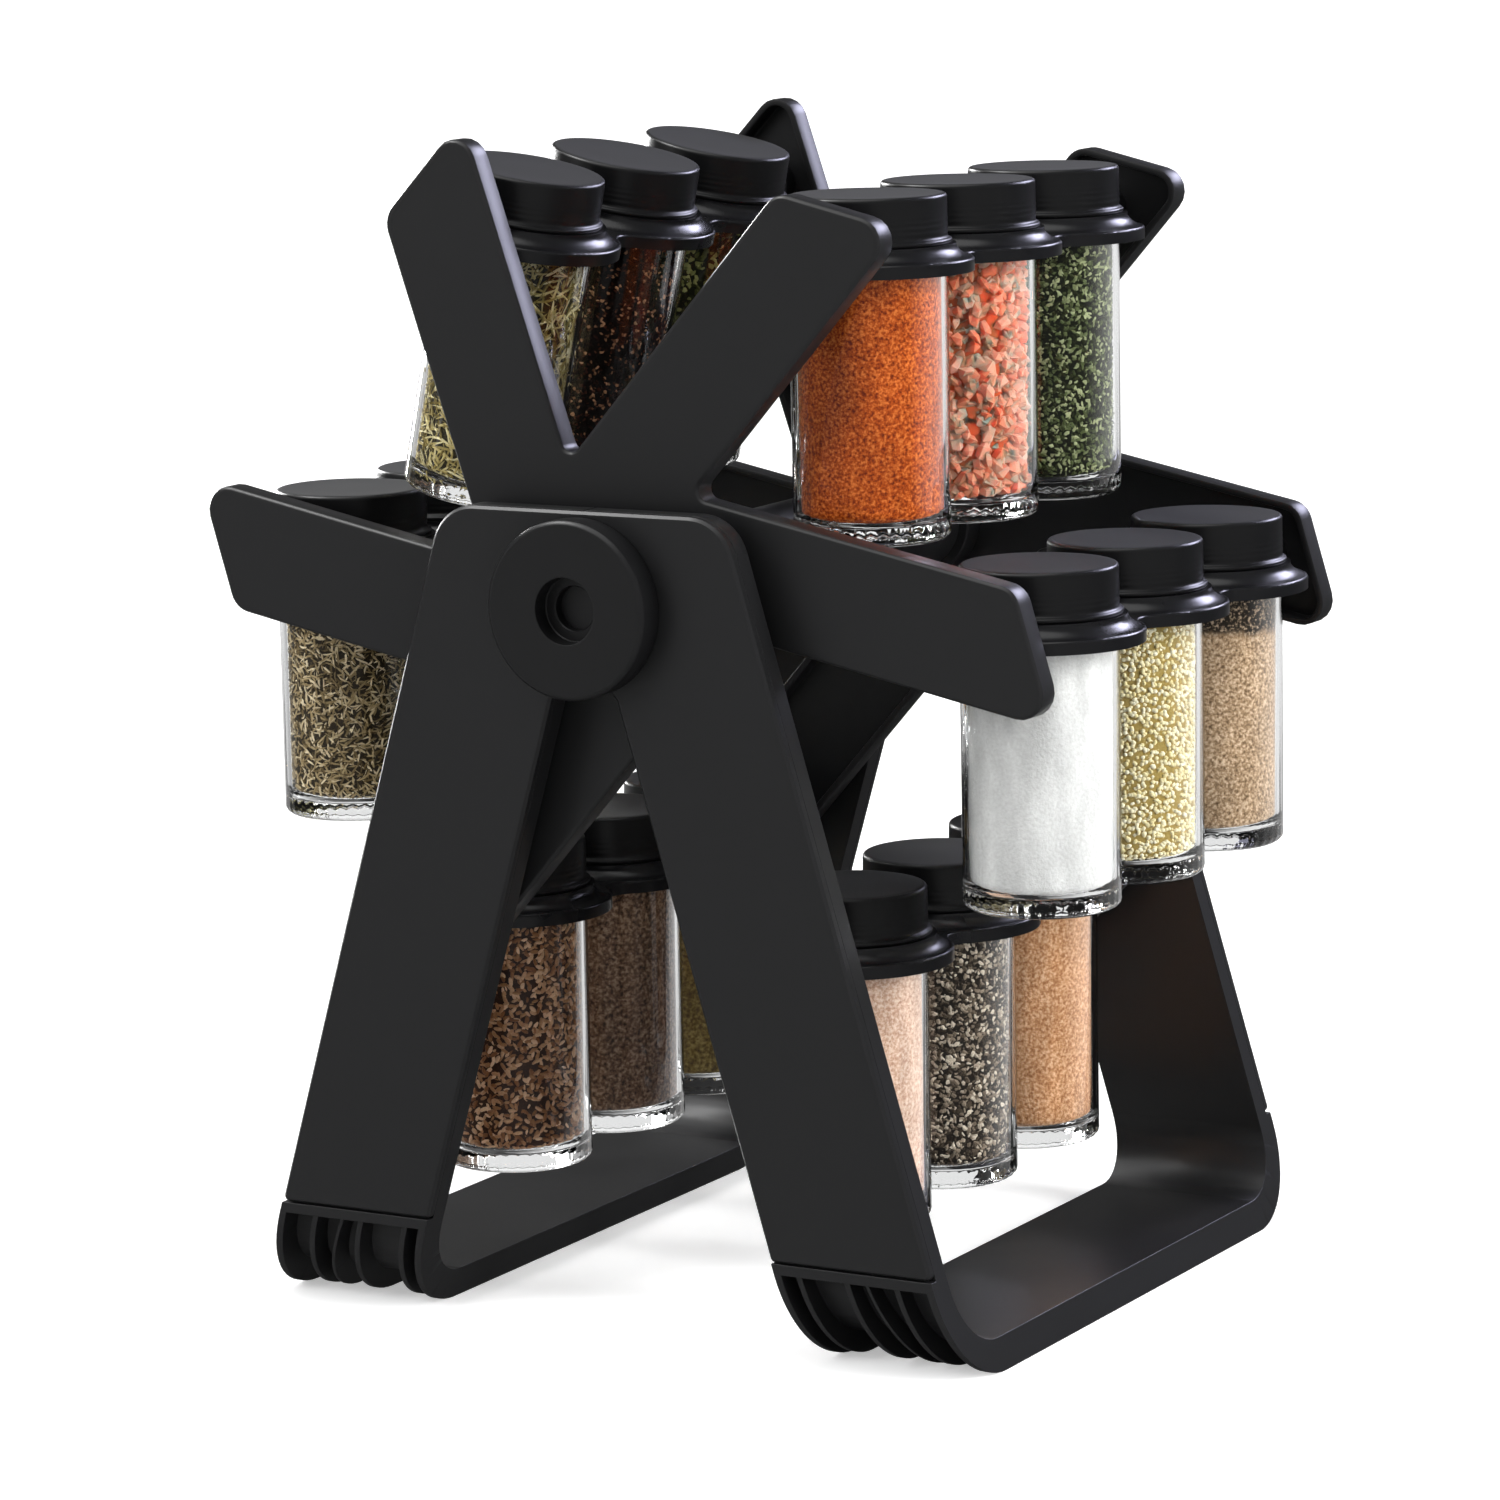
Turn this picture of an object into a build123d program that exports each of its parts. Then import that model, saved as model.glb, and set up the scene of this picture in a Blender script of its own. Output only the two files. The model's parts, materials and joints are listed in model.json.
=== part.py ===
"""Spice carousel: a wheel of six level hangers, each holding three spice jars, on an A-shaped stand.

Millimetres. The origin is on the floor under the middle of the hub. +X is to the right, +Y is to the
back and +Z is up. Flat outlines of upright plates are drawn as (x, z). Depths are measured from the
middle plane, and heights on a hanger from its pivot.
"""
import os
from math import cos, hypot, radians, sin, sqrt, tan

from build123d import *

BEYOND = 1.0  # a cut runs this far past the surface that it opens
STANDING = (Align.CENTER, Align.CENTER, Align.MIN)

# ---------------------------------------------------------------- jars
JAR_R = 22.0
JAR_DEPTH = 82.2  # top of the hanger's collar to the underside of the jar
JAR_CLEARANCE = 0.5  # radial, in the hanger's ring
GLASS_WALL = 1.8
GLASS_BASE = 5.0
HEEL_R = 3.0
SHOULDER_R = 3.2
SHOULDER_DROP = 0.6  # the shoulder ends this far below the collar's top
NECK_HEIGHT = 11.9
THREAD_STANDS = 1.3
THREAD_HEIGHT = 2.0
THREAD_PLACE = 6.0  # above the shoulder
FILL_CLEARANCE = 0.3
HEAD_SPACE = 4.5  # below the jar's mouth
THREAD_CLEARANCE = 0.3  # radial, between the jar's thread and the cap
CAP_WALL = 1.7
CAP_TOP = 2.5
CAP_SEAT = 0.8  # width of the collar's top that the cap's lip rests on
CAP_LIP_HEIGHT = 1.5
CAP_LIP_EDGE_R = 0.5
CAP_EDGE_R = 1.2

# ---------------------------------------------------------------- hangers
JARS_PER_HANGER = 3
COLLAR_TOP = 2.3
COLLAR_TOP_WIDTH = 1.9
COLLAR_STEP = 1.0  # upright edge at the collar's top
COLLAR_SPREAD = 3.8  # how much wider the collar is at its foot
COLLAR_HOLLOW = 0.3
COLLAR_GAP = 5.2  # between the tops of two neighbouring collars
RIM_TOP = -1.6
RIM_HEIGHT = 3.8
RIM_LEDGE = 1.2  # the rim stands this far outside the collar's foot
RIM_WALL = 1.8
RIM_EDGE_R = 0.9
SCALLOP_R = 8.0
PIN_R = 4.0
LUG_WALL = 2.2
LUG_FROM_CAP = 1.7
LUG_STANDS = 2.0  # a lug ends this far outside the rim
# turn of each hanger about its pivot at rest, positive moves the jar bottoms to the left
HANGER_TURNS = (0.0, 0.0, 12.0, 0.0, 0.0, 0.0)
ROWS = ("right", "upper_right", "upper_left", "left", "lower_left", "lower_right")

# ---------------------------------------------------------------- wheels
ARMS = 6
ARM_STEP = 360.0 / ARMS
PHASE = -11.5  # direction of the first arm's straight edge, in degrees from +X
ARM_WIDTH = 34.5
JAR_OVER_CAP = 16.53  # from a jar down to the cap below it, as one hanger passes right over the next
TIP_BEYOND_PIVOT = 28.8  # along the arm's straight edge
TIP_SLANT = 28.0
TIP_R = 7.0
NOTCH_R = 3.0
WHEEL_THICKNESS = 8.0
WHEEL_SKIN = 2.0
WHEEL_WALL = 2.0
WHEEL_BEVEL = 0.8
WHEEL_BOSS_WALL = 6.0  # beyond the journal's radius
WHEEL_BOSS_STANDS = 2.0  # the hub boss stands this far inside the rim
WHEEL_TO_LUG = 2.6
PIN_BOSS_WALL = 3.4
PIN_END_GAP = 0.4
THRUST_WALL = 4.0  # of the collar that runs against the bearing boss, beyond the journal's radius
THRUST_STANDS = 1.8
THRUST_GAP = 0.2

# ---------------------------------------------------------------- hub
SCREW_R = 2.4
SCREW_HOLE_R = 2.5
SCREW_HEAD_R = 5.4
SCREW_HEAD_HEIGHT = 3.4
SCREW_HEAD_CLEARANCE = 0.8
SCREW_PASS_CLEARANCE = 0.4
SCREW_REACH = 10.0  # thread in the centre tube
SCREW_SEAT_OUT = 2.0  # seat of the screw's head, outside the wheel's inner edge
KEY_WALL = 1.8  # square drive between hub, wheel and centre tube: its wall beside the screw's well
KEY_STEP = 0.6863  # the key's corners stay this far inside the journal
KEY_CLEARANCE = 0.1
KEY_IN_TUBE = 6.0
JOURNAL_END_GAP = 0.8
RUNNING_CLEARANCE = 0.08  # radial, on every turning fit
BEARING_WALL = 5.0  # of the leg cover's bearing boss, beyond the journal's radius
BOSS_CLEARANCE = 0.4
DISC_FLANGE = 13.0  # the disc's reach beyond the journal
DISC_THICKNESS = 9.0
DISC_BEVEL = 1.0
DISC_GAP = 0.2  # axial play between the disc and the leg cover
RECESS_STEP = 3.1  # the recess is this much wider than the screw's well
RECESS_DEPTH = 5.7
TUBE_STEP = 3.0  # the centre tube's radius beyond the journal's
TUBE_WALL = 2.0
TUBE_PLUG = 14.0

# ---------------------------------------------------------------- stand
FOOT_OUTER = 115.0  # half width of the stand on the floor
HEAD_OUTER = 45.0  # half width of the stand at its top
FORK_INNER = 9.8  # half width of the fork between the legs at its top
HEAD_ABOVE_DISC = 1.5
FORK_BELOW_BOSS = 6.5
JAR_OVER_BAR = 8.57  # from the lowest jar down to the floor bar, as it passes over
WHEEL_TO_BAND = 6.0
TOP_CORNER_R = 14.0
CROTCH_R = 4.0
BAND_THICKNESS = 9.0  # thickness of a base frame's band, with its leg cover
BAND_CORNER_R = 27.0  # outer bend of the band between leg and floor
BAND_SKIN = 2.0
BAND_WALL = 2.2
RIB_THICKNESS = 1.8
RIB_PLACES = (0.15, 0.45, 0.76)  # along the band's width, from its inner side
SLANTED_WEB = (0.57, 0.66)  # the thin web in each foot: its place at the seam and at the floor
SLANTED_WEB_THICKNESS = 1.1
RIB_SETBACK = 0.8  # ribs stop this far inside the band's outer surface
CROSS_WEBS = 5  # across the underside of the floor bar
CROSS_WEB_MARGIN = 16.0  # from the bend to the first of them
SEAM_ABOVE_BEND = 3.0  # lower end of a leg cover
SEAM_GAP = 0.3
SEAM_WEB = 3.0  # level web of the base frame just below the seam
HALF_SPLIT = 0.3  # each base frame stops this far from the middle plane
COVER_THICKNESS = 3.0
COVER_BEVEL = 0.9
TABS = 3  # locating tabs behind each leg of a cover
TAB_ABOVE_SEAM = 18.0
TAB_BELOW_CROTCH = 34.5
TAB_THICKNESS = 2.0
TAB_CLEARANCE = 0.2
TAB_END_GAP = 0.8

# ---------------------------------------------------------------- worked out from the above
# radii of the jar, its cap and its ring
RING_HOLE_R = JAR_R + JAR_CLEARANCE
NECK_R = JAR_R - SHOULDER_R
CAP_INNER_R = NECK_R + THREAD_STANDS + THREAD_CLEARANCE
CAP_R = CAP_INNER_R + CAP_WALL
CAP_LIP_R = RING_HOLE_R + CAP_SEAT
COLLAR_TOP_R = RING_HOLE_R + COLLAR_TOP_WIDTH
COLLAR_FOOT_R = COLLAR_TOP_R + COLLAR_SPREAD
RIM_R = COLLAR_FOOT_R + RIM_LEDGE
LUG_R = PIN_R + LUG_WALL
# heights on a hanger
RIM_BOTTOM = RIM_TOP - RIM_HEIGHT
JAR_BOTTOM = COLLAR_TOP - JAR_DEPTH
NECK_BASE = COLLAR_TOP - SHOULDER_DROP
MOUTH = NECK_BASE + NECK_HEIGHT
CAP_HEIGHT = MOUTH + CAP_TOP
# depths, from the jars outwards
JAR_PITCH = 2 * COLLAR_TOP_R + COLLAR_GAP
END_JAR = JAR_PITCH * (JARS_PER_HANGER - 1) / 2
LUG_START = END_JAR + CAP_LIP_R + LUG_FROM_CAP
LUG_END = END_JAR + RIM_R + LUG_STANDS
WHEEL_INNER = LUG_END + WHEEL_TO_LUG
WHEEL_HALF_DEPTH = WHEEL_INNER + WHEEL_THICKNESS
PIN_DEPTH = WHEEL_THICKNESS - WHEEL_SKIN - PIN_END_GAP
WHEEL_BOSS_END = WHEEL_INNER - WHEEL_BOSS_STANDS
BEARING_BOSS_END = WHEEL_HALF_DEPTH + THRUST_STANDS + THRUST_GAP
BAND_INNER = WHEEL_HALF_DEPTH + WHEEL_TO_BAND
STAND_HALF_DEPTH = BAND_INNER + BAND_THICKNESS
COVER_BACK = STAND_HALF_DEPTH - COVER_THICKNESS
SCREW_SEAT = WHEEL_INNER + SCREW_SEAT_OUT
CROSS_WEB_PITCH = 2 * (STAND_HALF_DEPTH - BAND_CORNER_R - CROSS_WEB_MARGIN) / (CROSS_WEBS - 1)
# radii on the hub axis, from the screw outwards
SCREW_WELL_R = SCREW_HEAD_R + SCREW_HEAD_CLEARANCE
KEY_SIDE = 2 * (SCREW_WELL_R + KEY_WALL)
SOCKET_SIDE = KEY_SIDE + 2 * KEY_CLEARANCE
JOURNAL_R = KEY_SIDE / sqrt(2) + KEY_STEP
BEARING_BOSS_R = JOURNAL_R + BEARING_WALL
DISC_R = JOURNAL_R + DISC_FLANGE
RECESS_R = SCREW_WELL_R + RECESS_STEP
WHEEL_BOSS_R = JOURNAL_R + WHEEL_BOSS_WALL
THRUST_R = JOURNAL_R + THRUST_WALL
TUBE_R = JOURNAL_R + TUBE_STEP
# the pivots' circle, and the hub's height over the floor
PIVOT_RADIUS = CAP_HEIGHT - JAR_BOTTOM + JAR_OVER_CAP
PIVOT_LATERAL = ARM_WIDTH / 2
PIVOT_ALONG = sqrt(PIVOT_RADIUS ** 2 - PIVOT_LATERAL ** 2)
ARM_LENGTH = PIVOT_ALONG + TIP_BEYOND_PIVOT
HUB_HEIGHT = PIVOT_RADIUS - JAR_BOTTOM + JAR_OVER_BAR + BAND_THICKNESS
# the stand's legs
STAND_TOP = HUB_HEIGHT + DISC_R + HEAD_ABOVE_DISC
CROTCH = HUB_HEIGHT - BEARING_BOSS_R - FORK_BELOW_BOSS
LEG_SLOPE = (FOOT_OUTER - HEAD_OUTER) / STAND_TOP
LEG_WIDTH = FOOT_OUTER - LEG_SLOPE * CROTCH - FORK_INNER
LEVEL_WALL = BAND_WALL * hypot(1.0, LEG_SLOPE)  # a side wall, measured level
SEAM_HEIGHT = BAND_CORNER_R + SEAM_ABOVE_BEND
LOW_TAB = SEAM_HEIGHT + TAB_ABOVE_SEAM
TAB_PITCH = (CROTCH - TAB_BELOW_CROTCH - LOW_TAB) / (TABS - 1)


def outer_x(z):
    """Distance of a leg's outer side from the middle plane at height z."""
    return FOOT_OUTER - LEG_SLOPE * z


def inner_x(z):
    """Distance of a leg's inner side from the middle plane at height z."""
    return FOOT_OUTER - LEG_WIDTH - LEG_SLOPE * z


def outline(points):
    """A flat face with straight sides through the points."""
    return make_face(Polyline(*points, close=True))


def upright(face, y_low, y_high):
    """Stands a face drawn as (x, z) upright between two depths."""
    return extrude(Plane.XZ.offset(-y_high) * face, y_high - y_low)


def along_x(face, x_low, x_high):
    """Extrudes a face drawn as (y, z) between two distances from the middle plane."""
    return extrude(Plane.YZ.offset(x_low) * face, x_high - x_low)


def rod(radius, y_low, y_high, x=0.0, z=HUB_HEIGHT):
    """A round bar along Y."""
    disc = Pos(x, z) * Circle(radius)
    return upright(disc, y_low, y_high)


def square_bar(side, y_low, y_high):
    """A square bar along Y, on the hub axis."""
    return upright(Pos(0, HUB_HEIGHT) * Rectangle(side, side), y_low, y_high)


def rear(solid):
    """The rear piece that mirrors a front piece."""
    return mirror(solid, Plane.XZ)


# ---------------------------------------------------------------- stand
def cover_outline():
    """A-shaped outline of a leg cover: a head with two legs that lean in towards it."""
    low = SEAM_HEIGHT + SEAM_GAP
    right_side = [
        (inner_x(CROTCH), CROTCH),
        (inner_x(low), low),
        (outer_x(low), low),
        (outer_x(STAND_TOP), STAND_TOP),
    ]
    left_side = [(-x, z) for x, z in reversed(right_side)]
    face = outline(right_side + left_side)
    face = fillet(face.vertices().group_by(Axis.Y)[-1], TOP_CORNER_R)
    fork = face.vertices().sort_by(lambda v: abs(v.X - FORK_INNER) + abs(v.Y - CROTCH))[0]
    other = face.vertices().sort_by(lambda v: abs(v.X + FORK_INNER) + abs(v.Y - CROTCH))[0]
    return fillet([fork, other], CROTCH_R)


def cover_tab(height):
    """A locating tab behind each leg of a cover, which fits between the base frame's side walls."""
    gap = LEVEL_WALL + TAB_CLEARANCE
    top = height + TAB_THICKNESS
    corners = [
        (inner_x(height) + gap, height),
        (outer_x(height) - gap, height),
        (outer_x(top) - gap, top),
        (inner_x(top) + gap, top),
    ]
    reach = BAND_THICKNESS - COVER_THICKNESS - BAND_SKIN - TAB_END_GAP
    tab = upright(outline(corners), -COVER_BACK, reach - COVER_BACK)
    return tab + mirror(tab, Plane.YZ)


def leg_cover_front():
    """Leg cover: a bevelled panel with the hub's bearing boss and the locating tabs behind it."""
    panel = upright(cover_outline(), -STAND_HALF_DEPTH, -COVER_BACK)
    front_edges = panel.faces().sort_by(Axis.Y)[0].edges()
    panel = chamfer(front_edges, COVER_BEVEL)
    panel += rod(BEARING_BOSS_R, -COVER_BACK, -BEARING_BOSS_END)
    for n in range(TABS):
        panel += cover_tab(LOW_TAB + n * TAB_PITCH)
    bore_r = JOURNAL_R + RUNNING_CLEARANCE
    return panel - rod(bore_r, -STAND_HALF_DEPTH - BEYOND, BEYOND - BEARING_BOSS_END)


def band_profile(half_depth, floor, radius, top):
    """Area above a bent line, drawn as (y, z): down one leg, round to the floor bar and up the other."""
    face = outline([(-half_depth, top), (-half_depth, floor), (half_depth, floor), (half_depth, top)])
    return fillet(face.vertices().group_by(Axis.Y)[0], radius)


def frame_outline(wall, floor):
    """Outline of the right base frame seen from the front, drawn inside its walls by wall."""
    level = wall * hypot(1.0, LEG_SLOPE)
    inner = HALF_SPLIT + wall
    top = STAND_TOP - wall
    crotch = CROTCH + wall
    face = outline([
        (inner_x(floor) + level, floor),
        (outer_x(floor) - level, floor),
        (outer_x(top) - level, top),
        (inner, top),
        (inner, crotch),
        (inner_x(crotch) + level, crotch),
    ])
    corner = face.vertices().group_by(Axis.Y)[-1].sort_by(Axis.X)[-1]
    return fillet(corner, TOP_CORNER_R - wall)


def leg_strip(at_seam, at_floor, thickness):
    """A thin strip of the foot seen from the front, at two shares of the band's width."""
    top = SEAM_HEIGHT - SEAM_WEB / 2
    upper = inner_x(top) + at_seam * LEG_WIDTH
    lower = inner_x(0) + at_floor * LEG_WIDTH
    half = thickness / 2
    return outline([(lower - half, 0), (lower + half, 0), (upper + half, top), (upper - half, top)])


def base_frame_right():
    """One bent band: front leg, floor bar and rear leg, a trough with its ribbed side outwards."""
    depth = STAND_HALF_DEPTH
    high = STAND_TOP + BEYOND

    def bent_bar(inset):
        """Everything inside the band's outer line, drawn in by inset, from the middle plane outwards."""
        line = band_profile(depth - inset, inset, BAND_CORNER_R - inset, high)
        return along_x(line, -BEYOND, FOOT_OUTER + BEYOND)

    outside = bent_bar(0)
    inside = bent_bar(BAND_THICKNESS)
    band = (upright(frame_outline(0, 0), -depth, depth) & outside) - inside
    band -= upright(frame_outline(BAND_WALL, -BEYOND), -depth - BEYOND, depth + BEYOND) \
        - bent_bar(BAND_THICKNESS - BAND_SKIN)
    # level web below each seam, lengthwise ribs, and cross webs below the floor bar
    lane = upright(frame_outline(BAND_WALL / 2, -BEYOND), -depth, depth) - inside
    seam_web = Pos(FOOT_OUTER / 2, 0, SEAM_HEIGHT - SEAM_WEB / 2) * Box(FOOT_OUTER, 2 * depth, SEAM_WEB)
    band += lane & seam_web & outside
    lane &= bent_bar(RIB_SETBACK)
    for place in RIB_PLACES:
        band += upright(leg_strip(place, place, RIB_THICKNESS), -depth, depth) & lane
    foot_web = upright(leg_strip(*SLANTED_WEB, SLANTED_WEB_THICKNESS), -depth, BAND_CORNER_R - depth)
    band += (foot_web + rear(foot_web)) & lane
    for n in range(CROSS_WEBS):
        y = (n - (CROSS_WEBS - 1) / 2) * CROSS_WEB_PITCH
        web = Pos(FOOT_OUTER / 2, y, BAND_THICKNESS / 2) * Box(FOOT_OUTER, RIB_THICKNESS, BAND_THICKNESS)
        band += web & lane
    # seats for the leg covers, and the gap round their bearing bosses
    above_seam = Pos(0, (SEAM_HEIGHT + high) / 2) * Rectangle(2 * FOOT_OUTER, high - SEAM_HEIGHT)
    band -= upright(above_seam, -depth - BEYOND, -COVER_BACK)
    band -= upright(above_seam, COVER_BACK, depth + BEYOND)
    band -= rod(BEARING_BOSS_R + BOSS_CLEARANCE, -depth, depth)
    return band


# ---------------------------------------------------------------- hub
def hub_front():
    """Hub: a bevelled disc, the shaft that turns in the leg cover, and a square key for the wheel."""
    back = STAND_HALF_DEPTH + DISC_GAP
    face = STAND_HALF_DEPTH + DISC_THICKNESS
    shoulder = WHEEL_HALF_DEPTH + JOURNAL_END_GAP
    key_end = WHEEL_BOSS_END - KEY_IN_TUBE
    disc = rod(DISC_R, -face, -back)
    disc = chamfer(disc.faces().sort_by(Axis.Y)[0].edges(), DISC_BEVEL)
    hub = disc + rod(JOURNAL_R, -back, -shoulder) + square_bar(KEY_SIDE, -shoulder, -key_end)
    hub -= rod(RECESS_R, -face, RECESS_DEPTH - face)
    hub -= rod(SCREW_WELL_R, -face, -SCREW_SEAT)
    return hub - rod(SCREW_R + SCREW_PASS_CLEARANCE, -face, -key_end)


def hub_screws():
    """The two screws, deep in the hubs, that clamp hubs and wheels to the centre tube."""
    tip = WHEEL_BOSS_END - KEY_IN_TUBE - SCREW_REACH
    head = rod(SCREW_HEAD_R, -SCREW_SEAT - SCREW_HEAD_HEIGHT, -SCREW_SEAT)
    screw = head + rod(SCREW_R, -SCREW_SEAT, -tip)
    return Compound(children=[screw, rear(screw)])


def centre_tube():
    """Tube between the wheels, with a square socket and a screw hole in each plugged end."""
    end = WHEEL_BOSS_END
    tube = rod(TUBE_R, -end, end)
    hollow = end - KEY_IN_TUBE - TUBE_PLUG
    tube -= rod(TUBE_R - TUBE_WALL, -hollow, hollow)
    tube -= square_bar(SOCKET_SIDE, -end, KEY_IN_TUBE - end)
    tube -= square_bar(SOCKET_SIDE, end - KEY_IN_TUBE, end)
    return tube - rod(SCREW_HOLE_R, -end, end)


# ---------------------------------------------------------------- wheels
def arm_point(k, along, lateral):
    """A point of arm k, from its distances along and across the arm, relative to the hub axis."""
    turn = radians(PHASE + k * ARM_STEP)
    return (along * cos(turn) - lateral * sin(turn), along * sin(turn) + lateral * cos(turn))


def pinwheel(inset):
    """Outline of a wheel, drawn inside itself by inset.

    One straight edge of each arm points at the hub axis and the other runs beside it, so that the arms
    stand round the hub like the sails of a pinwheel. Each tip is cut on a slant.
    """
    slant = radians(TIP_SLANT)
    step = radians(ARM_STEP)
    points = []
    for k in range(ARMS):
        for lateral in (inset, ARM_WIDTH - inset):
            along = ARM_LENGTH - lateral * tan(slant) - inset / cos(slant)
            points.append(arm_point(k, along, lateral))
        far = ARM_WIDTH - inset
        points.append(arm_point(k, (far * cos(step) - inset) / sin(step), far))
    face = outline(points)
    split = ARM_LENGTH / 2
    tips = [v for v in face.vertices() if hypot(v.X, v.Y) > split]
    face = fillet(tips, TIP_R - inset)
    notches = [v for v in face.vertices() if hypot(v.X, v.Y) < split]
    return Pos(0, HUB_HEIGHT) * fillet(notches, NOTCH_R + inset)


def pivot(k):
    """Position (x, z) of the pivot of hanger k."""
    x, z = arm_point(k, PIVOT_ALONG, PIVOT_LATERAL)
    return x, HUB_HEIGHT + z


def wheel_front():
    """Wheel: a six-armed tray, open towards the jars, with a hub boss and a bush at each arm's tip."""
    wheel = upright(pinwheel(0), -WHEEL_HALF_DEPTH, -WHEEL_INNER)
    wheel = chamfer(wheel.faces().sort_by(Axis.Y)[0].edges(), WHEEL_BEVEL)
    skin_back = WHEEL_HALF_DEPTH - WHEEL_SKIN
    wheel -= upright(pinwheel(WHEEL_WALL), -skin_back, -WHEEL_INNER)
    wheel += rod(WHEEL_BOSS_R, -skin_back, -WHEEL_BOSS_END)
    wheel += rod(THRUST_R, THRUST_GAP - BEARING_BOSS_END, -WHEEL_HALF_DEPTH)
    for k in range(ARMS):
        x, z = pivot(k)
        wheel += rod(PIN_R + PIN_BOSS_WALL, -skin_back, -WHEEL_INNER, x, z)
        wheel -= rod(PIN_R + RUNNING_CLEARANCE, -skin_back, -WHEEL_INNER, x, z)
    front = -BEARING_BOSS_END
    wheel -= square_bar(SOCKET_SIDE, front, -WHEEL_BOSS_END)
    return wheel - rod(JOURNAL_R + KEY_CLEARANCE, front, -WHEEL_HALF_DEPTH)


# ---------------------------------------------------------------- hangers and jars
def jar_depths():
    """Depths of the jar axes of a hanger, from the front."""
    return [n * JAR_PITCH - END_JAR for n in range(JARS_PER_HANGER)]


def place(solid, k, depth=0):
    """Moves a piece drawn with its pivot at the origin to hanger k, and to a jar's depth."""
    x, z = pivot(k)
    return Pos(x, depth, z) * Rot(0, HANGER_TURNS[k], 0) * solid


def rim_outline(inset):
    """Scalloped outline of a hanger: three rings in a row with rounded valleys between them."""
    reach = RIM_R + SCALLOP_R
    rise = sqrt(reach ** 2 - (JAR_PITCH / 2) ** 2)
    rings = Circle(RIM_R)
    for y in jar_depths():
        rings += Pos(0, y) * Circle(RIM_R)
    # each valley is a web as wide as the points where its round meets the rings, less that round
    meet = rise * RIM_R / reach
    rings += Rectangle(2 * meet, 2 * END_JAR)
    for y in jar_depths()[1:]:
        rings -= Pos(rise, y - JAR_PITCH / 2) * Circle(SCALLOP_R)
        rings -= Pos(-rise, y - JAR_PITCH / 2) * Circle(SCALLOP_R)
    if inset:
        return offset(rings, -inset)
    return rings


def collar():
    """Sloping, slightly hollow collar that rises from the rim to the seat of the cap."""
    foot = (COLLAR_FOOT_R, RIM_TOP)
    step = (COLLAR_TOP_R, COLLAR_TOP - COLLAR_STEP)
    middle = ((foot[0] + step[0]) / 2 - COLLAR_HOLLOW, (foot[1] + step[1]) / 2 - COLLAR_HOLLOW)
    slope = ThreePointArc(foot, middle, step)
    rest = Polyline(step, (COLLAR_TOP_R, COLLAR_TOP), (0, COLLAR_TOP), (0, RIM_TOP), foot)
    return revolve(Plane.XZ * make_face([slope, rest]), Axis.Z)


def hanger():
    """Hanger: three ring seats in one moulding, hollow below, with a pivot pin at each end."""
    body = Pos(0, 0, RIM_BOTTOM) * extrude(rim_outline(0), RIM_HEIGHT)
    body = fillet(body.faces().sort_by(Axis.Z)[-1].edges(), RIM_EDGE_R)
    hollow = Pos(0, 0, RIM_BOTTOM) * extrude(rim_outline(RIM_WALL), RIM_HEIGHT - RIM_WALL / 2)
    for y in jar_depths():
        hollow -= Pos(0, y, RIM_BOTTOM) * Cylinder(RING_HOLE_R + RIM_WALL, RIM_HEIGHT, align=STANDING)
    body -= hollow
    for y in jar_depths():
        body += Pos(0, y, 0) * collar()
    lug = rod(LUG_R, -LUG_END, -LUG_START, 0, 0)
    foot_depth = END_JAR + RIM_R - RIM_WALL / 2
    lug += upright(Pos(0, RIM_BOTTOM / 2) * Rectangle(2 * LUG_R, -RIM_BOTTOM), -foot_depth, -LUG_START)
    lug += rod(PIN_R, -WHEEL_INNER - PIN_DEPTH, -LUG_END, 0, 0)
    body += lug
    body += rear(lug)
    hole = Cylinder(RING_HOLE_R, COLLAR_TOP - RIM_BOTTOM + 2 * BEYOND, align=STANDING)
    for y in jar_depths():
        body -= Pos(0, y, RIM_BOTTOM - BEYOND) * hole
    return body


def bottle_profile(inset, low, high, heel):
    """Half section of a bottle shape, drawn as (r, z) inside the glass's outer surface by inset."""
    radius = JAR_R - inset
    neck = NECK_R - inset
    start = NECK_BASE - SHOULDER_R
    shoulder = RadiusArc((radius, start), (neck, NECK_BASE), -SHOULDER_R)
    if heel:
        foot = RadiusArc((radius - heel, low), (radius, low + heel), -heel)
        lower = [Line((0, low), (radius - heel, low)), foot, Line((radius, low + heel), (radius, start))]
    else:
        lower = [Line((0, low), (radius, low)), Line((radius, low), (radius, start))]
    upper = [shoulder, Polyline((neck, NECK_BASE), (neck, high), (0, high), (0, low))]
    return make_face(lower + upper)


def jar():
    """Glass jar with a thick base and a threaded neck, and the spice in it as a second solid."""
    glass = revolve(Plane.XZ * bottle_profile(0, JAR_BOTTOM, MOUTH, HEEL_R), Axis.Z)
    thread = Cylinder(NECK_R + THREAD_STANDS, THREAD_HEIGHT)
    glass += Pos(0, 0, NECK_BASE + THREAD_PLACE) * thread
    inside = JAR_BOTTOM + GLASS_BASE
    glass -= revolve(Plane.XZ * bottle_profile(GLASS_WALL, inside, MOUTH + BEYOND, 0), Axis.Z)
    spice_gap = GLASS_WALL + FILL_CLEARANCE
    spice = revolve(Plane.XZ * bottle_profile(spice_gap, inside, MOUTH - HEAD_SPACE, 0), Axis.Z)
    return Compound(children=[glass, spice])


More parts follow.
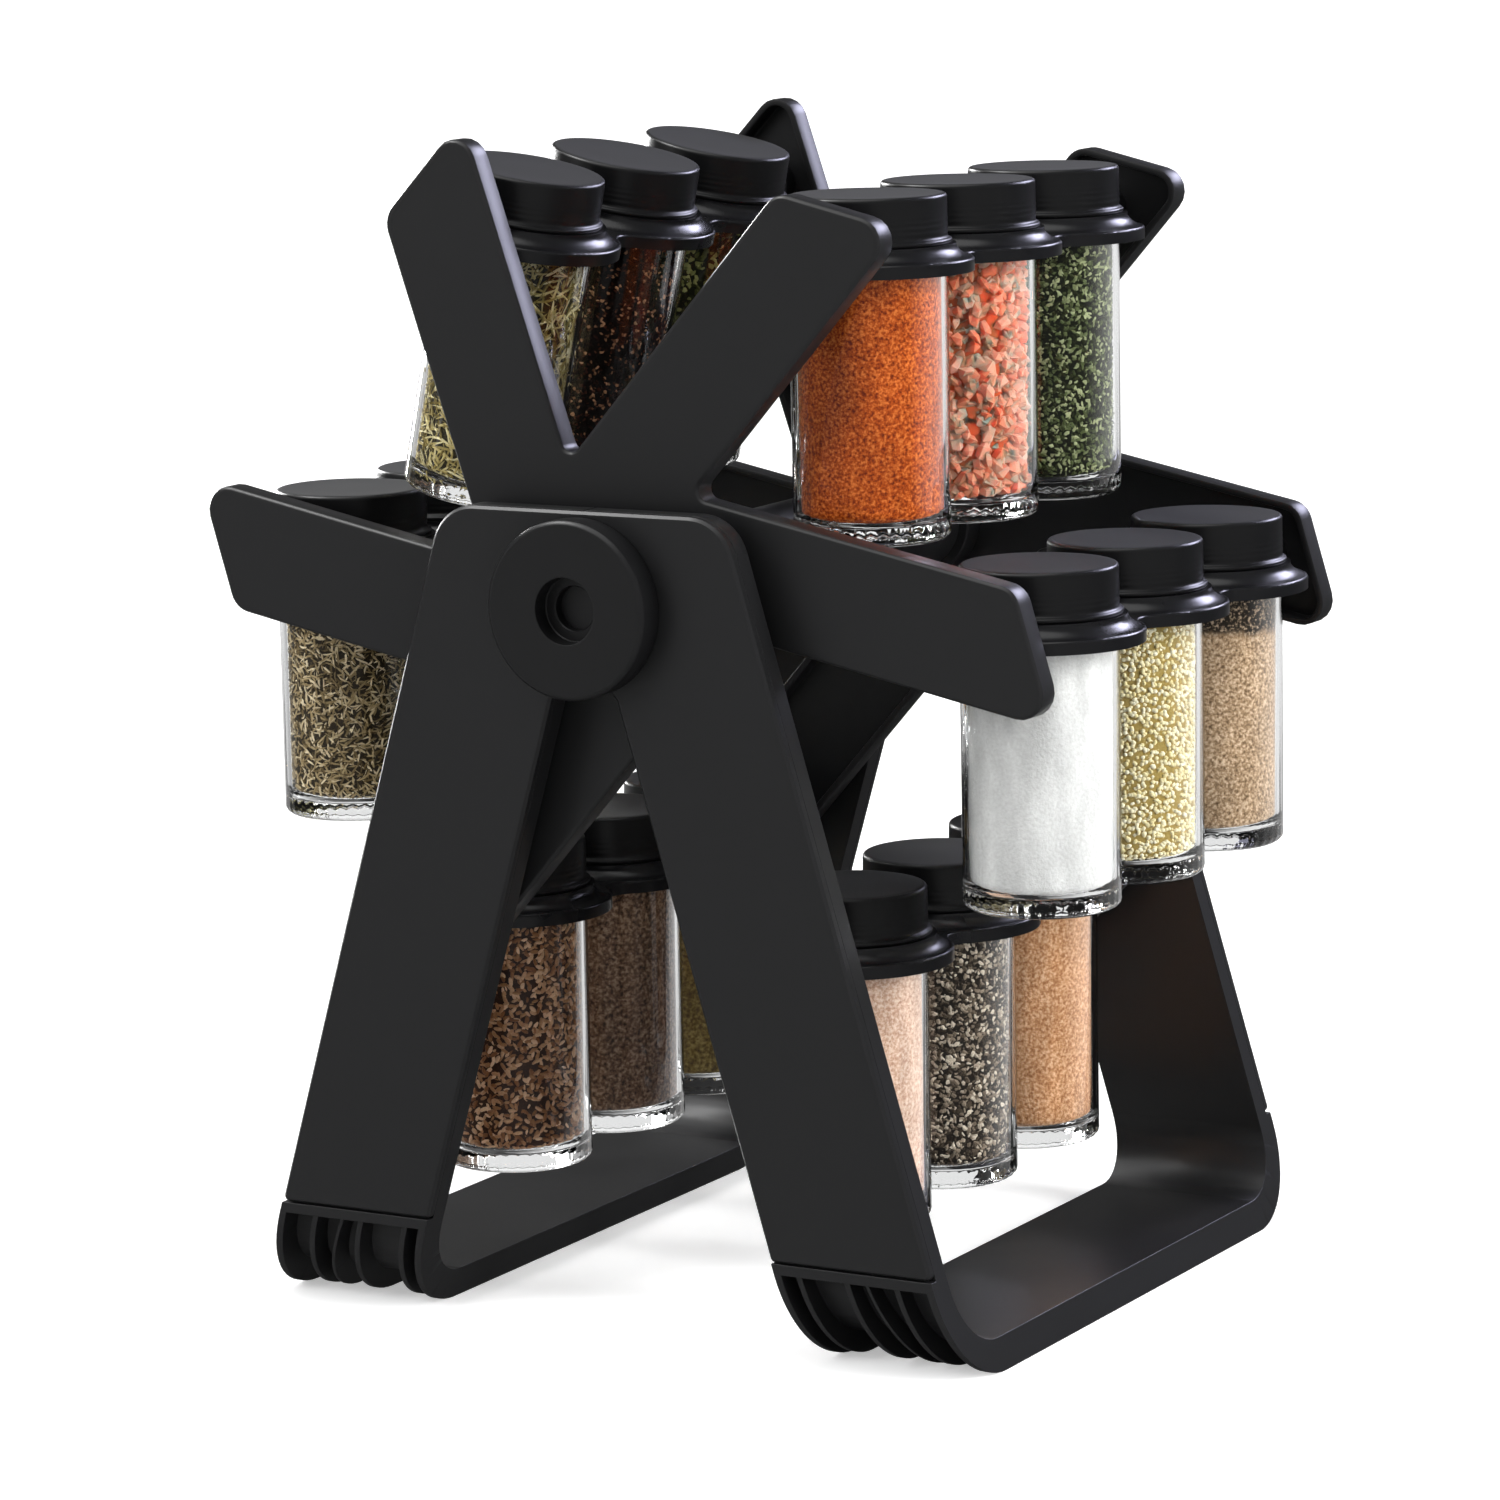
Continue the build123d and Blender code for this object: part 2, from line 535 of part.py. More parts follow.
def cap():
    """Screw cap with a flat top, a rounded rim and a small lip that rests on the hanger's collar."""
    shell = Cylinder(CAP_R, CAP_HEIGHT - COLLAR_TOP, align=STANDING)
    shell = fillet(shell.edges().sort_by(Axis.Z)[-1], CAP_EDGE_R)
    lip = Cylinder(CAP_LIP_R, CAP_LIP_HEIGHT, align=STANDING)
    shell += fillet(lip.edges(), CAP_LIP_EDGE_R)
    shell -= Cylinder(CAP_INNER_R, MOUTH - COLLAR_TOP, align=STANDING)
    return Pos(0, 0, COLLAR_TOP) * shell


# ---------------------------------------------------------------- assembly
def assembly():
    """Every piece of the carousel at rest, by name."""
    pieces = {}
    pieces["base_frame_right"] = base_frame_right()
    pieces["base_frame_left"] = mirror(pieces["base_frame_right"], Plane.YZ)
    pieces["leg_cover_front"] = leg_cover_front()
    pieces["leg_cover_rear"] = rear(pieces["leg_cover_front"])
    pieces["wheel_front"] = wheel_front()
    pieces["wheel_rear"] = rear(pieces["wheel_front"])
    pieces["hub_front"] = hub_front()
    pieces["hub_rear"] = rear(pieces["hub_front"])
    pieces["hub_screws"] = hub_screws()
    pieces["centre_tube"] = centre_tube()
    one_hanger = hanger()
    one_jar = jar()
    one_cap = cap()
    for k, row in enumerate(ROWS):
        pieces[f"hanger_{row}"] = place(one_hanger, k)
        for n, y in enumerate(jar_depths(), 1):
            pieces[f"jar_{row}_{n}"] = place(one_jar, k, y)
            pieces[f"cap_{row}_{n}"] = place(one_cap, k, y)
    return pieces


os.makedirs("parts", exist_ok=True)
for name, piece in assembly().items():
    export_step(piece, f"parts/{name}.step")
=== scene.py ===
"""Spice carousel: two pinwheel wheels on an A-shaped stand, with six level hangers of three glass jars.

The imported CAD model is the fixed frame. Every length is in metres, and sizes given in millimetres are
multiplied by MM. The hub axis runs along Y, the front is -Y and the floor is z = 0.
"""
import json
import logging
import math
from dataclasses import dataclass
from enum import Enum

import bpy
import numpy as np
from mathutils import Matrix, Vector


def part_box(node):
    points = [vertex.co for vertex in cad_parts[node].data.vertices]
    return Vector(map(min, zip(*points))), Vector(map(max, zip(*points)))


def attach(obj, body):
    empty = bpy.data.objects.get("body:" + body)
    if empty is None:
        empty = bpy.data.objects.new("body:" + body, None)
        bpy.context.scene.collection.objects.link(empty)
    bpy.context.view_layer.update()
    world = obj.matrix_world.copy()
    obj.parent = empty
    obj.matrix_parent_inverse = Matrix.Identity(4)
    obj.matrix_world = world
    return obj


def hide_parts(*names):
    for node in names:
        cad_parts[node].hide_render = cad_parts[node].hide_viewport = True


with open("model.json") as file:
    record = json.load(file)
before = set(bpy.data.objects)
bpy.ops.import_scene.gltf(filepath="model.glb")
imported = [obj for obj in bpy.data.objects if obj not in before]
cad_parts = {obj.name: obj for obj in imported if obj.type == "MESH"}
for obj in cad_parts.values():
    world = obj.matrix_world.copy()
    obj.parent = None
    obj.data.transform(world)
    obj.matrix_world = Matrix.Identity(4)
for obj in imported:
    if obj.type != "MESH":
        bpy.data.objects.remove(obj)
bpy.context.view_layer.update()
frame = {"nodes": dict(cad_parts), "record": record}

LOG = logging.getLogger("carousel")
MM = 0.001
JOINTS = {joint["name"]: joint for joint in frame["record"]["behaviour"]["joints"]}


# ---------------------------------------------------------------- colour and shader nodes
def linear(code: str) -> tuple:
    """Turns an sRGB hex colour into linear light.

    Args:
        code: A colour such as "#2B2B2D".

    Returns:
        Red, green, blue and an alpha of 1.
    """
    parts = np.array([int(code[i:i + 2], 16) for i in (1, 3, 5)]) / 255.0
    light = np.where(parts <= 0.04045, parts / 12.92, ((parts + 0.055) / 1.055) ** 2.4)
    return (*light.tolist(), 1.0)


def add_node(tree: bpy.types.NodeTree, kind: str, inputs: dict | None = None, stops: list | None = None,
             **settings) -> bpy.types.Node:
    """Adds a shader node with its settings and links.

    Args:
        tree: The material's node tree.
        kind: The node's type name.
        inputs: Input name or number to a value, or to a socket that is linked to it.
        stops: The (place, colour) stops of a colour ramp.
        settings: Properties of the node itself.

    Returns:
        The new node.
    """
    node = tree.nodes.new(kind)
    for key, value in settings.items():
        setattr(node, key, value)
    if stops:
        ramp = node.color_ramp
        while len(ramp.elements) < len(stops):
            ramp.elements.new(0.5)
        for element, (place, colour) in zip(ramp.elements, stops):
            element.position = place
            element.color = colour
    for key, value in (inputs or {}).items():
        if isinstance(value, bpy.types.NodeSocket):
            tree.links.new(value, node.inputs[key])
        else:
            node.inputs[key].default_value = value
    return node


def new_material(name: str) -> tuple[bpy.types.Material, bpy.types.NodeTree]:
    """Makes an empty node material.

    Args:
        name: The material's name.

    Returns:
        The material and its node tree.
    """
    material = bpy.data.materials.new(name)
    material.use_nodes = True
    material.node_tree.nodes.clear()
    return material, material.node_tree


@dataclass(frozen=True)
class MouldedAbs:
    """ABS moulded in a finely spark-eroded tool: an even satin black whose edges catch a soft cool light."""

    name: str
    colour: str = "#1A1A1B"
    roughness: float = 0.38
    roughness_swing: float = 0.05
    specular: float = 0.42
    painted_light_colour: str = ""  # colour where a point's tone is 1: painted light, paler as if that part caught more light
    matt_roughness: float = 0.6
    grain: float = 0.7 * MM  # the real grain is 0.05 mm; it is drawn coarser, so that it shows at all
    grain_depth: float = 0.012 * MM
    haze: float = 35.0 * MM  # broad, faint change of gloss, as from handling

    def build(self) -> bpy.types.Material:
        """Makes the material."""
        material, tree = new_material(self.name)
        place = add_node(tree, "ShaderNodeTexCoord").outputs["Object"]
        grain = add_node(tree, "ShaderNodeTexNoise", {
            "Vector": place, "Scale": 1 / self.grain, "Detail": 2.0})
        haze = add_node(tree, "ShaderNodeTexNoise", {"Vector": place, "Scale": 1 / self.haze, "Detail": 4.0})
        gloss = add_node(tree, "ShaderNodeMapRange", {
            "Value": haze.outputs["Fac"],
            "To Min": self.roughness - self.roughness_swing,
            "To Max": self.roughness + self.roughness_swing,
        })
        bump = add_node(tree, "ShaderNodeBump", {
            "Height": grain.outputs["Fac"],
            "Distance": self.grain_depth,
            "Strength": 0.6,
        })
        colour, roughness = linear(self.colour), gloss.outputs["Result"]
        # points of tone 1 get a matt roughness, and a paler colour as painted light
        if self.painted_light_colour:
            share = add_node(tree, "ShaderNodeAttribute", attribute_name="tone").outputs["Fac"]
            colour = add_node(tree, "ShaderNodeMix", {
                "Factor": share, 6: colour, 7: linear(self.painted_light_colour)}, data_type="RGBA").outputs[2]
            roughness = add_node(tree, "ShaderNodeMix", {
                "Factor": share, 2: roughness, 3: self.matt_roughness}).outputs[0]
        shader = add_node(tree, "ShaderNodeBsdfPrincipled", {
            "Base Color": colour,
            "Roughness": roughness,
            "Specular IOR Level": self.specular,
            "IOR": 1.5,
            "Normal": bump.outputs["Normal"],
        })
        add_node(tree, "ShaderNodeOutputMaterial", {"Surface": shader.outputs["BSDF"]})
        return material


@dataclass(frozen=True)
class PressedGlass:
    """Soda-lime glass pressed in a mould: clear, faintly green, with soft waves in its walls."""

    name: str
    tint: str = "#FCFDFD"
    shade_tint: str = "#F6F7F6"
    wave: float = 9.0 * MM
    wave_depth: float = 0.012 * MM

    def build(self) -> bpy.types.Material:
        """Makes the material. Lamps' rays pass straight through it, so that they light what is inside."""
        material, tree = new_material(self.name)
        place = add_node(tree, "ShaderNodeTexCoord").outputs["Object"]
        wave = add_node(tree, "ShaderNodeTexNoise", {"Vector": place, "Scale": 1 / self.wave, "Detail": 1.0})
        bump = add_node(tree, "ShaderNodeBump", {
            "Height": wave.outputs["Fac"],
            "Distance": self.wave_depth,
            "Strength": 1.0,
        })
        glass = add_node(tree, "ShaderNodeBsdfPrincipled", {
            "Base Color": linear(self.tint),
            "Roughness": 0.0,
            "IOR": 1.52,
            "Transmission Weight": 1.0,
            "Normal": bump.outputs["Normal"],
        })
        clear = add_node(tree, "ShaderNodeBsdfTransparent", {"Color": linear(self.shade_tint)})
        path = add_node(tree, "ShaderNodeLightPath")
        mix = add_node(tree, "ShaderNodeMixShader", {
            0: path.outputs["Is Shadow Ray"],
            1: glass.outputs["BSDF"],
            2: clear.outputs["BSDF"],
        })
        add_node(tree, "ShaderNodeOutputMaterial", {"Surface": mix.outputs["Shader"]})
        return material


@dataclass(frozen=True)
class ZincSteel:
    """Zinc-plated steel screw: a bright, slightly blue metal with fine turned rings."""

    name: str
    colour: str = "#B9BDC4"
    roughness: float = 0.32
    ring: float = 0.35 * MM

    def build(self) -> bpy.types.Material:
        """Makes the material."""
        material, tree = new_material(self.name)
        place = add_node(tree, "ShaderNodeTexCoord").outputs["Object"]
        rings = add_node(tree, "ShaderNodeTexNoise", {"Vector": place, "Scale": 1 / self.ring, "Detail": 2.0})
        gloss = add_node(tree, "ShaderNodeMapRange", {
            "Value": rings.outputs["Fac"],
            "To Min": self.roughness - 0.08,
            "To Max": self.roughness + 0.1,
        })
        shader = add_node(tree, "ShaderNodeBsdfPrincipled", {
            "Base Color": linear(self.colour),
            "Metallic": 1.0,
            "Roughness": gloss.outputs["Result"],
        })
        add_node(tree, "ShaderNodeOutputMaterial", {"Surface": shader.outputs["BSDF"]})
        return material


# ---------------------------------------------------------------- surfaces
@dataclass
class Surface:
    """Points, and faces of any one size or more, on their way into a mesh."""

    points: np.ndarray
    faces: list  # arrays of shape (count, corners)

    def moved(self, place) -> "Surface":
        """The surface with its points passed through a function of whole arrays."""
        return Surface(place(self.points), self.faces)

    def mirrored(self) -> "Surface":
        """The surface mirrored from front to rear, with its faces turned to stay outwards."""
        return Surface(self.points * (1, -1, 1), [face[:, ::-1] for face in self.faces])


def joined(surfaces: list) -> Surface:
    """Puts surfaces together without merging them.

    Args:
        surfaces: The surfaces, in order.

    Returns:
        One surface.
    """
    faces = []
    start = 0
    for surface in surfaces:
        faces += [face + start for face in surface.faces]
        start += len(surface.points)
    return Surface(np.concatenate([surface.points for surface in surfaces]), faces)


def ring_faces(rings: int, count: int) -> np.ndarray:
    """Faces between closed rings of points, each ring following the one before it.

    Args:
        rings: How many rings there are.
        count: How many points each has.

    Returns:
        Faces of four corners. They face outwards where each ring runs anticlockwise as seen from the side
        that the rings advance to.
    """
    ring, step = np.meshgrid(np.arange(rings - 1), np.arange(count), indexing="ij")
    here = ring * count + step
    beside = ring * count + (step + 1) % count
    return np.stack([here, beside, beside + count, here + count], -1).reshape(-1, 4)


def arc(centre: tuple, radius: float, start: float, end: float, steps: int = 6) -> np.ndarray:
    """Points on an arc: centre + radius * (cos a, sin a), for a from start to end in degrees.

    Args:
        centre: The arc's centre.
        radius: The arc's radius.
        start: First angle.
        end: Last angle.
        steps: How many points.

    Returns:
        Points of shape (steps, 2).
    """
    angle = np.radians(np.linspace(start, end, steps))
    return np.stack([centre[0] + radius * np.cos(angle), centre[1] + radius * np.sin(angle)], -1)


def turned(profile: np.ndarray, segments: int, knurl=None) -> Surface:
    """A closed body of revolution: (r, z) turned to (r cos a, r sin a, z).

    Args:
        profile: Points (r, z) from the bottom of the axis, round the outside, to its top.
        segments: Steps round the axis.
        knurl: Optional function of the profile and the angles, that gives a change of radius.

    Returns:
        The surface. The first and last points of the profile become single points on the axis.
    """
    angle = np.arange(segments) * 2 * np.pi / segments
    middle = profile[1:-1]
    radius = np.repeat(middle[:, :1], segments, 1)
    if knurl:
        radius = radius + knurl(middle, angle)
    rings = np.stack([
        radius * np.cos(angle),
        radius * np.sin(angle),
        np.repeat(middle[:, 1:], segments, 1),
    ], -1).reshape(-1, 3)
    count = len(rings)
    poles = np.array([(0, 0, profile[0, 1]), (0, 0, profile[-1, 1])])
    step = np.arange(segments)
    after = (step + 1) % segments
    last = count - segments
    bottom = np.stack([np.full(segments, count), after, step], -1)
    top = np.stack([np.full(segments, count + 1), last + step, last + after], -1)
    return Surface(np.concatenate([rings, poles]), [ring_faces(len(middle), segments), bottom, top])


def rounded_outline(corners: np.ndarray, radii: np.ndarray, inset: float, steps: int = 7) -> np.ndarray:
    """A closed outline with round corners, drawn inside a polygon by inset.

    Each side moves in by the inset. Each corner is an arc that touches its two sides: its radius is the
    given one less the inset where the outline bulges, and plus the inset where it is hollow.

    Args:
        corners: The polygon's corners (x, z), anticlockwise.
        radii: Each corner's radius.
        inset: How far inside the polygon the outline runs.
        steps: Points on each corner's arc.

    Returns:
        Points of shape (corners * steps, 2).
    """
    ahead = np.roll(corners, -1, 0) - corners
    ahead /= np.linalg.norm(ahead, axis=1, keepdims=True)
    behind = np.roll(ahead, 1, 0)
    left_in = np.stack([-behind[:, 1], behind[:, 0]], -1)
    left_out = np.stack([-ahead[:, 1], ahead[:, 0]], -1)
    cosine = np.sum(behind * ahead, 1)
    side = np.sign(behind[:, 0] * ahead[:, 1] - behind[:, 1] * ahead[:, 0])
    inner = (left_in + left_out) / (1 + cosine)[:, None]
    radius = radii - side * inset
    centre = corners + inset * inner + (side * radius)[:, None] * inner
    sweep = np.arccos(np.clip(cosine, -1, 1)) * side
    start = np.arctan2(-side * left_in[:, 1], -side * left_in[:, 0])
    angle = start[:, None] + sweep[:, None] * np.linspace(0, 1, steps)
    spokes = np.stack([np.cos(angle), np.sin(angle)], -1)
    return (centre[:, None] + radius[:, None, None] * spokes).reshape(-1, 2)


def plate(outline, profile: list) -> Surface:
    """An upright plate or tray: an outline carried along a profile of (inset, depth) pairs.

    Point k of ring i is outline(inset_i)[k], stood upright at depth y = depth_i. The first and last rings
    are closed with flat faces.

    Args:
        outline: Function from an inset to the outline's points (x, z), anticlockwise from the front.
        profile: The (inset, depth) pairs, from the middle of the front to the middle of the back.

    Returns:
        The surface, facing outwards.
    """
    rings = []
    for inset, depth in profile:
        flat = outline(inset)
        rings.append(np.stack([flat[:, 0], np.full(len(flat), depth), flat[:, 1]], -1))
    count = len(rings[0])
    first = np.arange(count)[None]
    last = (np.arange(count) + count * (len(rings) - 1))[None, ::-1]
    walls = ring_faces(len(rings), count)[:, ::-1]
    return Surface(np.concatenate(rings), [first, walls, last])


def facing_front(surface: Surface, x: float, z: float) -> Surface:
    """Lays a body of revolution down so that its axis points to the front, through (x, z)."""
    return surface.moved(lambda p: np.stack([p[:, 0] + x, -p[:, 2], p[:, 1] + z], -1))


def make_piece(name: str, surface: Surface, material: bpy.types.Material, body: str,
               nodes: tuple = (), crease: float | None = 35.0, tone: np.ndarray | None = None
               ) -> bpy.types.Object:
    """Makes a piece from a surface, and ties it to the frame.

    Args:
        name: The piece's name.
        surface: Its points and faces.
        material: What it is made of.
        body: The CAD body that it rides on.
        nodes: CAD nodes that it stands for.
        crease: Edges sharper than this many degrees stay sharp. None keeps every face flat.
        tone: One number for each point, for the material to read.

    Returns:
        The piece.
    """
    mesh = bpy.data.meshes.new(name)
    mesh.vertices.add(len(surface.points))
    mesh.vertices.foreach_set("co", surface.points.astype(np.float32).ravel())
    loops = np.concatenate([face.ravel() for face in surface.faces])
    sizes = np.concatenate([np.full(len(face), face.shape[1]) for face in surface.faces])
    mesh.loops.add(len(loops))
    mesh.loops.foreach_set("vertex_index", loops.astype(np.int32))
    mesh.polygons.add(len(sizes))
    mesh.polygons.foreach_set("loop_start", (np.cumsum(sizes) - sizes).astype(np.int32))
    mesh.update(calc_edges=True)
    mesh.validate()
    mesh.polygons.foreach_set("use_smooth", np.full(len(mesh.polygons), crease is not None))
    if crease is not None:
        mesh.set_sharp_from_angle(angle=math.radians(crease))
    if tone is not None:
        mesh.attributes.new("tone", "FLOAT", "POINT").data.foreach_set("value", tone.astype(np.float32))
    mesh.materials.append(material)
    piece = bpy.data.objects.new(name, mesh)
    bpy.context.collection.objects.link(piece)
    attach(piece, body)
    if nodes:
        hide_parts(*nodes)
    LOG.info("%s on %s: %d faces", name, body, len(mesh.polygons))
    return piece


def dress(node: str, material: bpy.types.Material, bevel: float = 0.0) -> None:
    """Gives a CAD node its material, and modifiers that round its look without moving its vertices.

    Args:
        node: The CAD node.
        material: Its material.
        bevel: Width of the round on its sharp edges, or 0 for none.
    """
    piece = frame["nodes"][node]
    if not piece.material_slots:
        piece.data.materials.append(material)
    for place in piece.material_slots:
        place.link = "OBJECT"
        place.material = material
    weld = piece.modifiers.new("weld", "WELD")
    weld.merge_threshold = 0.002 * MM
    if bevel:
        edge = piece.modifiers.new("edge", "BEVEL")
        edge.width = bevel
        edge.segments = 2
        edge.limit_method = "ANGLE"
        edge.angle_limit = math.radians(40)
        edge.harden_normals = True
    LOG.info("%s dressed in %s", node, material.name)


# ---------------------------------------------------------------- spices
class Grain(Enum):
    """The shape of a spice's grains."""

    POWDER = "powder"
    SEED = "seed"
    LONG_SEED = "long seed"
    NEEDLE = "needle"
    FLAKE = "flake"
    CRYSTAL = "crystal"


@dataclass(frozen=True)
class Spice:
    """One spice: the shape, size and colours of its grains."""

    name: str
    grain: Grain
    colours: tuple  # from the darkest grains to the lightest; with loose grains the first also paints shade on the core seen in the gaps
    length: float = 1.0  # of a grain, in millimetres
    breadth: float = 1.0
    thickness: float = 1.0
    cover: float = 1.5  # how often grains cover the glass over
    roughness: float = 0.7
    top_colour: str = ""  # a darker colour, in flecks, over the top of a powder
    top_depth: float = 0.0  # how far below the pivot that colour reaches, in millimetres
    coarse: float = 0.9  # size of a powder's specks, in millimetres
    darkest: float = 0.1  # tone of the darkest grain; the core seen in the gaps between grains has the tone 0, the darkest colour, as painted shade
    glow: float = 0.0  # share of light that passes through a grain

    def build(self) -> bpy.types.Material:
        """Makes the spice's material: each grain's own tone picks its colour, and fine noise mottles it."""
        material, tree = new_material(f"spice_{self.name}")
        place = add_node(tree, "ShaderNodeTexCoord").outputs["Object"]
        powder = self.grain is Grain.POWDER
        fine = add_node(tree, "ShaderNodeTexNoise", {
            "Vector": place,
            "Scale": 1 / ((self.coarse if powder else 0.5) * MM),
            "Detail": 3.0,
            "Roughness": 0.6,
        })
        places = np.linspace(0.34 if powder else 0.0, 0.66 if powder else 1.0, len(self.colours))
        stops = [(float(x), linear(code)) for x, code in zip(places, self.colours)]
        if powder:
            tone = fine.outputs["Fac"]
        else:
            own = add_node(tree, "ShaderNodeAttribute", attribute_name="tone")
            tone = add_node(tree, "ShaderNodeMath", {
                0: fine.outputs["Fac"],
                1: 0.35,
                2: own.outputs["Fac"],
            }, operation="MULTIPLY_ADD").outputs[0]
            tone = add_node(tree, "ShaderNodeMath", {0: tone, 1: 0.17}, operation="SUBTRACT").outputs[0]
        colour = add_node(tree, "ShaderNodeValToRGB", {"Fac": tone}, stops=stops).outputs["Color"]
        if powder:
            colour = self.layered(tree, place, fine.outputs["Fac"], colour)
        bump = add_node(tree, "ShaderNodeBump", {
            "Height": fine.outputs["Fac"],
            "Distance": (0.35 if powder else 0.08) * MM,
            "Strength": 0.8,
        })
        inputs = {
            "Base Color": colour,
            "Roughness": self.roughness,
            "Specular IOR Level": 0.3,
            "Normal": bump.outputs["Normal"],
        }
        if self.glow:
            inputs["Subsurface Weight"] = self.glow
            inputs["Subsurface Radius"] = (2.2 * MM, 1.0 * MM, 0.8 * MM)
            inputs["Subsurface Scale"] = 1.0
        shader = add_node(tree, "ShaderNodeBsdfPrincipled", inputs)
        add_node(tree, "ShaderNodeOutputMaterial", {"Surface": shader.outputs["BSDF"]})
        return material

    def layered(self, tree: bpy.types.NodeTree, place: bpy.types.NodeSocket, fine: bpy.types.NodeSocket,
                colour: bpy.types.NodeSocket) -> bpy.types.NodeSocket:
        """Adds slow drifts of tone to a powder, and on some powders a darker colour in flecks over the top.

        Args:
            tree: The material's node tree.
            place: Object coordinates.
            fine: Fine noise.
            colour: The powder's colour.

        Returns:
            The colour with both.
        """
        upright = add_node(tree, "ShaderNodeMapping", {"Vector": place, "Scale": (1, 1, 0.35)})
        drift = add_node(tree, "ShaderNodeTexNoise", {
            "Vector": upright.outputs["Vector"], "Scale": 1 / (7.0 * MM), "Detail": 3.0})
        value = add_node(tree, "ShaderNodeMapRange", {
            "Value": drift.outputs["Fac"], "From Min": 0.3, "From Max": 0.7, "To Min": 0.82, "To Max": 1.12})
        colour = add_node(tree, "ShaderNodeHueSaturation", {
            "Value": value.outputs["Result"], "Color": colour}).outputs["Color"]
        if not self.top_colour:
            return colour
        own = add_node(tree, "ShaderNodeAttribute", attribute_name="tone")
        edge = add_node(tree, "ShaderNodeMath", {0: drift.outputs["Fac"], 1: 9.0, 2: own.outputs["Fac"]},
                        operation="MULTIPLY_ADD").outputs[0]
        edge = add_node(tree, "ShaderNodeMath", {0: fine, 1: 5.0, 2: edge},
                        operation="MULTIPLY_ADD").outputs[0]
        high = add_node(tree, "ShaderNodeMapRange", {
            "Value": edge, "From Min": 6.2 - self.top_depth, "From Max": 8.2 - self.top_depth})
        fleck = add_node(tree, "ShaderNodeMapRange", {
            "Value": fine, "From Min": 0.5, "From Max": 0.62, "To Min": 1.0, "To Max": 0.45})
        share = add_node(tree, "ShaderNodeMath", {0: high.outputs["Result"], 1: fleck.outputs["Result"]},
                         operation="MULTIPLY").outputs[0]
        return add_node(tree, "ShaderNodeMix", {
            "Factor": share, 6: colour, 7: linear(self.top_colour)}, data_type="RGBA").outputs[2]


SALT = Spice("table_salt", Grain.POWDER, ("#DEDCDB", "#E6E5E4", "#EEEDEC"), roughness=0.5)
MUSTARD = Spice("yellow_mustard_seed", Grain.SEED, ("#9E8646", "#E0CF92", "#F4E8BE", "#FFF9E2"),
                1.55, 1.45, 1.3, 1.65, 0.5, darkest=0.45)
SUMAC = Spice("ground_sumac", Grain.POWDER, ("#6A523A", "#AE9070", "#E2C8AC"),
              top_colour="#18110A", top_depth=17.0)
PAPRIKA = Spice("ground_paprika", Grain.POWDER, ("#6E2004", "#B84E0E", "#E8823A"))
PINK_SALT = Spice("pink_rock_salt", Grain.CRYSTAL, ("#E8623C", "#F47A54", "#FF9678", "#FFB6A0"),
                  5.4, 4.4, 3.6, 3.4, 0.24, glow=1.3, darkest=0.5)
PARSLEY = Spice("dried_parsley", Grain.FLAKE, ("#0E0F07", "#2C3118", "#5F6A42", "#B4BA8E"),
                1.9, 1.2, 0.4, 2.0)
ROSEMARY = Spice("dried_rosemary", Grain.NEEDLE, ("#1C1608", "#8A783E", "#CDBB7C", "#F4E9BC"),
                 7.0, 0.9, 0.7, 2.4, darkest=0.2)
CHILLI = Spice("crushed_chilli", Grain.FLAKE, ("#0B0504", "#140906", "#1E0D08", "#4A2416", "#CF9A72"),
               1.3, 1.0, 0.5, 1.1)
SAGE = Spice("rubbed_sage", Grain.FLAKE, ("#141508", "#333518", "#5B5D30", "#96965F"),
             2.6, 1.8, 0.4, 1.8)
THYME = Spice("dried_thyme", Grain.NEEDLE, ("#261D10", "#7A6642", "#B49E74", "#EEDDBA"),
              3.9, 0.8, 0.6, 2.3, darkest=0.15)
FENNEL = Spice("fennel_seed", Grain.LONG_SEED, ("#38340F", "#8E8750", "#ADA56B", "#D2CB96"),
               5.0, 1.8, 1.5, 1.5, darkest=0.3)
TURMERIC = Spice("ground_turmeric", Grain.POWDER, ("#9C5E0A", "#CB8A1E", "#E2AC40"))
FLAX = Spice("flax_seed", Grain.LONG_SEED, ("#3A2014", "#94603C", "#C08C62", "#F4CCA6"),
             2.7, 1.35, 1.0, 1.75, 0.4, darkest=0.25)
CLOVE = Spice("ground_clove", Grain.POWDER, ("#3A281C", "#7A5A44", "#B4947A"), coarse=1.1)
CUMIN = Spice("ground_cumin", Grain.POWDER, ("#54421C", "#836C36", "#AD9659"), coarse=1.2)
GINGER = Spice("ground_ginger", Grain.POWDER, ("#BE9078", "#DEB8A0", "#F4DCCB"))
HERB_MIX = Spice("herb_mix", Grain.FLAKE, ("#1C1612", "#54483C", "#9C8C7A", "#E8DCCA"),
                 2.0, 1.2, 0.5, 2.0)
CURRY = Spice("curry_powder", Grain.POWDER, ("#A06840", "#CE986C", "#EEC4A0"))

SHELF = {
    "right": (SALT, MUSTARD, SUMAC),
    "upper_right": (PAPRIKA, PINK_SALT, PARSLEY),
    "upper_left": (ROSEMARY, CHILLI, SAGE),
    "left": (THYME, FENNEL, TURMERIC),
    "lower_left": (FLAX, CLOVE, CUMIN),
    "lower_right": (GINGER, HERB_MIX, CURRY),
}


def ball(around: int, rings: int, ends: float) -> Surface:
    """A closed grain of unit size: rings of points between two poles.

    Ring k has the radius sin(a)^ends and the height cos(a), for a in even steps from pole to pole.

    Args:
        around: Points on each ring.
        rings: How many rings there are between the poles.
        ends: 1 for a round grain; more gives pointed ends, and less gives blunt ones.

    Returns:
        The surface, long in X.
    """
    angle = np.linspace(np.pi, 0, rings + 2)
    profile = np.stack([np.sin(angle) ** ends, np.cos(angle)], -1)
    profile[0, 0] = profile[-1, 0] = 0
    shape = turned(profile, around)
    return shape.moved(lambda p: p[:, [2, 0, 1]] / 2)


